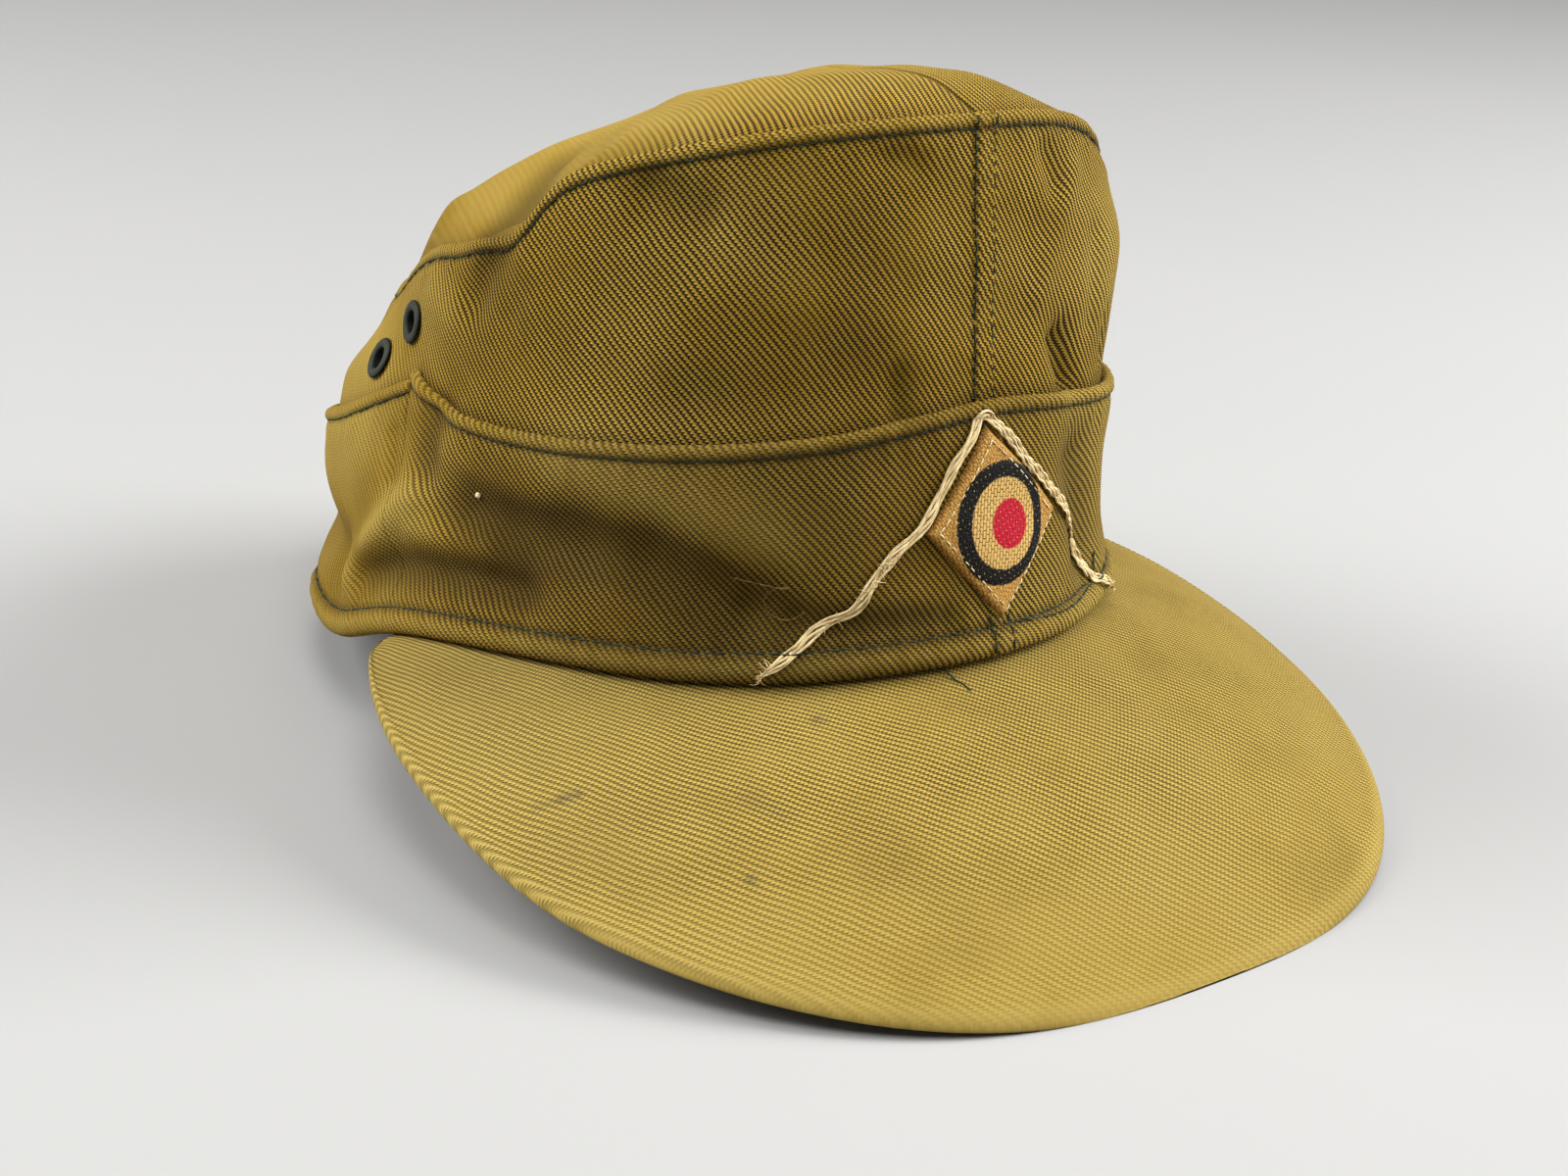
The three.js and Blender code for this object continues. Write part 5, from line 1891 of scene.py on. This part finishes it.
    def fray(self, across: Array, height: Array, run: Array) -> None:
        """Loose strands that stand off the braid at its worn places and its ends.

        Args:
            across: Middle line of the braid, mm across.
            height: Middle line of the braid, heights.
            run: Distance along it.
        """
        dice = np.random.default_rng(self.fray_seed)
        worn = np.array([*self.fray_places, run[-1] - self.fray_from_end])
        start = dice.choice(worn, self.frays) + dice.normal(0, self.fray_spread, self.frays)
        start = np.clip(start, self.fray_margin, run[-1] - self.fray_margin)
        aim = dice.uniform(-np.pi, np.pi, self.frays)[:, None]
        length = dice.uniform(*self.fray_lengths, self.frays)[:, None]
        t = np.linspace(0, 1, self.fray_steps)[None]
        bow = aim + dice.normal(0, self.fray_bow, self.frays)[:, None] * t
        x = np.interp(start, run, across)[:, None] + length * t * np.cos(bow)
        y = np.interp(start, run, height)[:, None] + length * t * np.sin(bow)
        hump = self.fray_lift * np.sin(np.pi * t) * length
        paths, normals = trim_curve(x, y, self.lift + self.fray_lift + hump - self.fray_sink * t)
        radii = self.fray_radius * (1 - self.fray_taper * t)
        points, faces = tube_parts(paths, normals, radii, self.fray_sides)
        places = np.stack([x, y, np.zeros(x.shape)], -1).reshape(-1, 3)
        marks = {"strand_mm": np.repeat(places, self.fray_sides, 0), "painted_shade": np.zeros(len(points))}
        add_piece("soutache_frays", points, faces, self.finishes.braid, (), marks)


def crown_curve(turn: Array, height: Array, offset: Array) -> Curve:
    """A curve on the crown and its directions outward."""
    points = crown_point(turn, height, offset)
    return points, crown_point(turn, height, np.asarray(offset) + 1) - points


@dataclass
class Stitching:
    """Rows of sewing thread along every seam that shows."""

    finishes: Finishes
    cockade: Cockade
    pitch: float = 2.6
    length: float = 2.45
    radius: float = 0.2
    sides: int = 6
    steps: int = 6
    seed: int = 3
    shift: float = 0.1
    arch: float = 0.42
    sink: float = 0.22
    unlevel: float = 0.04
    taper: float = 0.55
    back: float = 179.9
    round_points: int = 1500
    edge_points: int = 900
    seam_points: int = 300
    short_points: int = 200
    over_braid: tuple[Band, ...] = (Band(1.45, 1.5, 30.7), Band(1.45, 1.5, -28.2))
    second_row: Pair = (-27.5, -3.0)
    second_row_sag: float = 1.1
    corner_margin: float = 0.6
    seam_stand: float = 0.1
    rib_stop: float = 0.5
    rib_round: float = 0.8
    welt_row: Pair = (6.0, 0.2)
    roll_start: float = 0.3
    under_patch: float = 1.0
    patch_run: float = 0.88
    patch_inset: float = 0.86
    patch_edge: float = 0.97
    patch_scale: float = 0.75

    def row(
        self,
        name: str,
        curves: Sequence[Curve],
        thread: Material,
        scale: float = 1,
    ) -> None:
        """One piece of stitches: short threads whose ends dip into the cloth, spaced evenly along each curve.

        Args:
            name: Name of the piece.
            curves: For each row of stitches, its points and its directions out of the cloth.
            thread: The thread's finish.
            scale: Size of its stitches against the usual ones.
        """
        dice = np.random.default_rng(self.seed)
        t = np.linspace(0, 1, self.steps)[None]
        length = self.length * scale
        paths, normals = [], []
        for places, outs in curves:
            run = steps_along(places)
            count = max(int(run[-1] / (self.pitch * scale)), 1)
            start = (np.arange(count) + 0.5) * run[-1] / count - length / 2
            start = start + dice.normal(0, self.shift, count)
            at = np.clip(start[:, None] + length * t, 0, run[-1])
            path = np.stack([np.interp(at, run, places[:, k]) for k in range(3)], -1)
            out = np.stack([np.interp(at, run, outs[:, k]) for k in range(3)], -1)
            out /= np.linalg.norm(out, axis=-1, keepdims=True)
            lift = scale * (self.arch * (1 - (2 * t - 1) ** 4) - self.sink)
            lift = lift + dice.normal(0, self.unlevel, (count, 1))
            paths.append(path + out * lift[..., None])
            normals.append(out)
        radii = self.radius * scale * (1 - self.taper * np.abs(2 * t - 1) ** 3)
        points, faces = tube_parts(np.concatenate(paths), np.concatenate(normals), radii, self.sides)
        add_piece(name, points, faces, thread)

    def build(self) -> None:
        """Sews every visible seam."""
        green = self.finishes.green_thread
        around = np.linspace(-self.back, self.back, self.round_points)
        top = crown_curve(around, seam_height(around) - RIB.width, -WALL_INSET - RIB.groove)
        self.row("rim_stitching", self.rim_rows(around), green)
        self.row("flap_edge_stitching", self.edge_rows(), green)
        self.row("top_seam_stitching", [top], green)
        self.row("front_seam_stitching", self.front_rows(), green)
        self.row("back_seam_stitching", self.back_rows(), green)
        pale = self.finishes.pale_thread
        self.row("patch_stitching", self.patch_rows(), pale, self.patch_scale)

    def rim_rows(self, around: Array) -> list[Curve]:
        """The row in the groove above the rim's roll, which passes over the braid, and a second, sagging one.

        Args:
            around: Turns right round the rim.

        Returns:
            Points and outward directions of each row.
        """
        level = np.full(around.shape, RIM_ROLL.width)
        twice = np.linspace(*self.second_row, self.short_points)
        sagging = RIM_ROLL.width - self.second_row_sag * np.sin(np.linspace(0, np.pi, self.short_points))
        first = crown_curve(around, level, by_turn(self.over_braid, around) - RIM_ROLL.groove / 2)
        return [first, crown_curve(twice, sagging, flap_puff(sagging, flap_height(twice)))]

    def edge_rows(self) -> list[Curve]:
        """Rows under the welt of the flap's upper edge, over the front pieces and then over the rear one.

        Returns:
            Points and outward directions of each row.
        """
        rows = []
        front = FLAP_CORNER - self.corner_margin
        rear = FLAP_CORNER + self.corner_margin
        for start, end in ((-front, front), (rear, 360 - rear)):
            turn = np.linspace(start, end, self.edge_points)
            rows.append(crown_curve(turn, flap_height(turn) - EDGE_WELT.width, -EDGE_WELT.groove))
        return rows

    def front_rows(self) -> list[Curve]:
        """The felled seam's two rows, each from the flap's edge over the rib, over the welt and the roll.

        Returns:
            Points and outward directions of each row.
        """
        rows = []
        for across in (-FELL_HALF_WIDTH, FELL_HALF_WIDTH):
            turn = np.full(self.seam_points, np.degrees(across / RIM_HALF_WIDTH))
            seam = seam_height(turn)
            edge = flap_height(turn)
            height = np.linspace(edge[0], seam[0] - self.rib_stop, self.seam_points)
            on_rib = np.clip((height - seam + RIB.width) / RIB.width, 0, 1)
            bulge = RIB.puff * np.sin(on_rib * np.pi * self.rib_round) + self.seam_stand
            rows.append(crown_curve(turn, height, bulge - WALL_INSET))
            below, stop = self.welt_row
            welt = (edge[0] - below, edge[0] - stop)
            roll = (RIM_ROLL_FOOT + self.roll_start, self.cockade.bottom + self.under_patch)
            for ends in (welt, roll):
                flap = np.linspace(*ends, self.seam_points)
                rows.append(crown_curve(turn, flap, flap_puff(flap, edge) + self.seam_stand))
        return rows

    def back_rows(self) -> list[Curve]:
        """A row beside the seam at the back on each side, from the flap's edge to the top seam.

        Returns:
            Points and outward directions of each row.
        """
        rows = []
        for away in (-FELL_HALF_WIDTH, FELL_HALF_WIDTH):
            turn = np.full(self.short_points, 180 + away / MM_PER_DEGREE)
            height = np.linspace(flap_height(turn)[0], seam_height(turn)[0] - RIB.width, self.short_points)
            rows.append(crown_curve(turn, height, -WALL_INSET))
        return rows

    def patch_rows(self) -> list[Curve]:
        """Running stitches just inside the patch's four edges, of which one lies closer to its edge.

        Returns:
            Points and outward directions of each row.
        """
        rows = []
        run = np.linspace(-self.patch_run, self.patch_run, self.short_points)
        inset = np.full(self.short_points, self.patch_inset)
        edge = np.full(self.short_points, -self.patch_edge)
        for a, b in ((run, inset), (run, -inset), (inset, run), (edge, run)):
            across, height = self.cockade.place(a, b)
            rows.append(trim_curve(across, height, self.cockade.skin(a, b)))
        return rows


@dataclass
class StrayFibres:
    """What lies loose: an end of thread on the visor, and a stitch end, a hair and lint on the flap."""

    finishes: Finishes
    visor: Visor
    points: int = 24
    thread_radius: float = 0.17
    thread_sway: Pair = (0.25, 9.0)
    thread_arch: Pair = (0.3, 6.0)
    thread_lift: float = 0.35
    end_radius: float = 0.2
    end_start: Pair = (-27.0, 6.0)
    end_move: Pair = (-1.1, 5.0)
    hair_radius: float = 0.05
    hair_start: Pair = (37.2, 20.6)
    hair_tail: float = 0.3
    hair_curl: Pair = (31.0, 15.2)
    hair_curl_size: Pair = (2.7, 3.6)
    hair_curl_from: float = 0.2
    hair_aim: float = 0.75 * np.pi
    hair_sweep: float = 6.2
    hair_lift: float = 0.5
    hair_pace: float = 8.0
    lint_radius: float = 0.65
    lint_start: Pair = (73.3, 31.8)
    lint_move: Pair = (-0.5, 0.9)
    lift: float = 0.3
    # Share along the loose thread, and its x and y in plan
    thread: tuple[tuple[float, float, float], ...] = (
        (0.0, -14.6, -97.4), (0.4, -13.1, -100.1), (0.75, -12.0, -102.2), (1.0, -11.8, -104.2),
    )

    def strand(self, name: str, curve: Curve, radius: Array, sides: int, finish: Material) -> None:
        """One loose strand.

        Args:
            name: Name of the piece.
            curve: Its points and the directions out of the cloth.
            radius: Its radius, or one for each point.
            sides: Sides of its section.
            finish: Its finish.
        """
        path, outs = curve
        points, faces = tube_parts(path[None], outs[None], radius, sides)
        add_piece(name, points, faces, finish)

    def build(self) -> None:
        """Lays each fibre where it shows."""
        green = self.finishes.green_thread
        t = np.linspace(0, 1, self.points)
        share, x, y = np.array(self.thread).T
        aside, over = (size * np.sin(pace * t) for size, pace in (self.thread_sway, self.thread_arch))
        path = self.visor.top_point(np.interp(t, share, x), np.interp(t, share, y))
        path = path + np.stack([aside, np.zeros(self.points), over], -1)
        up = np.broadcast_to([0.0, 0.0, 1.0], path.shape)
        self.strand("loose_thread", (path + self.thread_lift * up, up), self.thread_radius, 6, green)
        turn, height = (start + move * t for start, move in zip(self.end_start, self.end_move))
        self.strand("loose_end", crown_curve(turn, height, self.lift), self.end_radius, 6, green)
        tail = smoothstep(t, 0, self.hair_tail)
        circle = self.hair_aim - self.hair_sweep * np.clip(t - self.hair_curl_from, 0, 1)
        curl_turn = self.hair_curl[0] + self.hair_curl_size[0] * np.cos(circle)
        curl_height = self.hair_curl[1] + self.hair_curl_size[1] * np.sin(circle)
        turn = self.hair_start[0] * (1 - tail) + curl_turn * tail
        height = self.hair_start[1] * (1 - tail) + curl_height * tail
        hair = crown_curve(turn, height, self.hair_lift + self.lift * np.sin(self.hair_pace * t))
        self.strand("stray_hair", hair, self.hair_radius, 4, self.finishes.fibre)
        turn, height = (start + move * t for start, move in zip(self.lint_start, self.lint_move))
        radius = self.lint_radius * np.sqrt(1.02 - (2 * t - 1) ** 2)
        self.strand("lint_speck", crown_curve(turn, height, self.lift), radius, 6, self.finishes.pale_thread)


@dataclass(frozen=True)
class Lamp:
    """A soft box: where it stands and what it points at, in metres, its size and its power in watts."""

    name: str
    place: tuple[float, float, float]
    aim: tuple[float, float, float]
    size: float
    power: float


@dataclass
class Studio:
    """Camera of the photograph, soft light and a pale floor."""

    azimuth: float = -37.76
    elevation: float = 11.65
    roll: float = -3.49
    distance: float = 564.9
    look_at: tuple[float, float, float] = (-21.72, -58.64, 11.42)
    focal_px: float = 2760.6
    frame_px: float = 1600.0
    sensor: float = 36.0
    near: float = 0.01
    floor_radius: float = 1.35
    floor_sides: int = 128
    floor_drop: float = 0.0001
    floor_grey: str = "#90908e"
    floor_pale: str = "#949392"
    sky: Span = Span(0.17, 0.3, 0.7, 0.05)
    lamps: tuple[Lamp, ...] = (
        Lamp("overhead", (0.0, 0.1, 1.5), (0, 0, 0), 1.0, 9.0),
        Lamp("front", (-0.49, -0.63, 1.39), (0, 0, 0.06), 0.7, 14.0),
        Lamp("left", (-1.07, 0.75, 0.95), (0, 0, 0.06), 1.0, 38.0),
        Lamp("right", (1.18, -0.58, 0.95), (0, 0, 0.06), 1.0, 52.0),
    )

    def camera(self) -> None:
        """Places the camera: its angles are about the cap's own frame, which the resting pose tips back."""
        a, e, r = np.radians([self.azimuth, self.elevation, self.roll])
        back = np.array([np.sin(a) * np.cos(e), -np.cos(a) * np.cos(e), np.sin(e)])
        right = np.array([np.cos(a), np.sin(a), 0])
        up = np.cross(back, right)
        axes = [np.cos(r) * right + np.sin(r) * up, np.cos(r) * up - np.sin(r) * right, back]
        tip = Matrix.Rotation(-REST_TILT, 4, "X")
        turned = Matrix.Identity(4)
        for k, axis in enumerate(axes):
            turned.col[k].xyz = axis
        place = np.array(self.look_at) + back * self.distance
        lens = bpy.data.cameras.new("photo_camera")
        lens.sensor_width = self.sensor
        lens.lens = self.focal_px * self.sensor / self.frame_px
        lens.clip_start = self.near
        camera = bpy.data.objects.new("photo_camera", lens)
        bpy.context.scene.collection.objects.link(camera)
        shift = Vector((0, REST_SHIFT, REST_HEIGHT))
        camera.matrix_world = Matrix.Translation((tip @ Vector(place) + shift) * MM) @ tip @ turned
        bpy.context.scene.camera = camera

    def light(self) -> None:
        """Soft boxes round the cap, in a sky that is pale at the horizon and dim overhead."""
        for lamp in self.lamps:
            data = bpy.data.lights.new(lamp.name, "AREA")
            data.size = lamp.size
            data.energy = lamp.power
            box = bpy.data.objects.new(lamp.name, data)
            box.location = lamp.place
            box.rotation_euler = (Vector(lamp.aim) - Vector(lamp.place)).to_track_quat("-Z", "Y").to_euler()
            bpy.context.scene.collection.objects.link(box)
        world = bpy.data.worlds.new("pale_sky")
        world.use_nodes = True
        tree = world.node_tree
        way = add_node(tree, "TexCoord", {}, "Generated")
        rise = add_node(tree, "SeparateXYZ", {0: way}, "Z")
        strength = add_node(tree, "MapRange", self.sky.of(rise))
        set_inputs(tree, tree.nodes["Background"], {"Color": linear("#ffffff"), "Strength": strength})
        bpy.context.scene.world = world

    def floor(self) -> None:
        """A wide round floor of matt painted board just under the cap."""
        angle = np.arange(self.floor_sides) * 2 * np.pi / self.floor_sides
        level = np.full(self.floor_sides, -self.floor_drop)
        circle = np.stack([self.floor_radius * np.cos(angle), self.floor_radius * np.sin(angle), level], -1)
        mesh = bpy.data.meshes.new("floor")
        mesh.from_pydata(circle.tolist(), [], [list(range(self.floor_sides))])
        material, tree, shader = new_material("painted board, matt pale grey")
        place = add_node(tree, "TexCoord", {}, "Object")
        grain = add_node(tree, "TexNoise", {"Vector": place, "Scale": 3.0}, "Fac")
        colour = layered(tree, linear(self.floor_grey), [(grain, linear(self.floor_pale))])
        set_inputs(tree, shader, {"Base Color": colour, "Roughness": 0.9})
        mesh.materials.append(material)
        board = bpy.data.objects.new("floor", mesh)
        bpy.context.scene.collection.objects.link(board)

    def build(self) -> None:
        """Sets up the whole studio, with colours shown as they are."""
        self.camera()
        self.light()
        self.floor()
        bpy.context.scene.view_settings.view_transform = "Standard"


def main() -> None:
    """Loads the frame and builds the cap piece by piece."""
    logging.basicConfig(level=logging.INFO, format="%(name)s %(message)s")
    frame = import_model()
    LOG.info("frame: %d solids", len(frame["nodes"]))
    Studio().build()
    finishes = Finishes.build()
    eyelets = Eyelets(finishes)
    visor = Visor(finishes)
    cockade = Cockade(finishes)
    CrownWalls(finishes, eyelets).build()
    CrownTop(finishes).build()
    eyelets.build()
    TurnUp(finishes).build()
    visor.build()
    cockade.build()
    Soutache(finishes).build()
    Stitching(finishes, cockade).build()
    StrayFibres(finishes, visor).build()


if __name__ == "__main__":
    main()
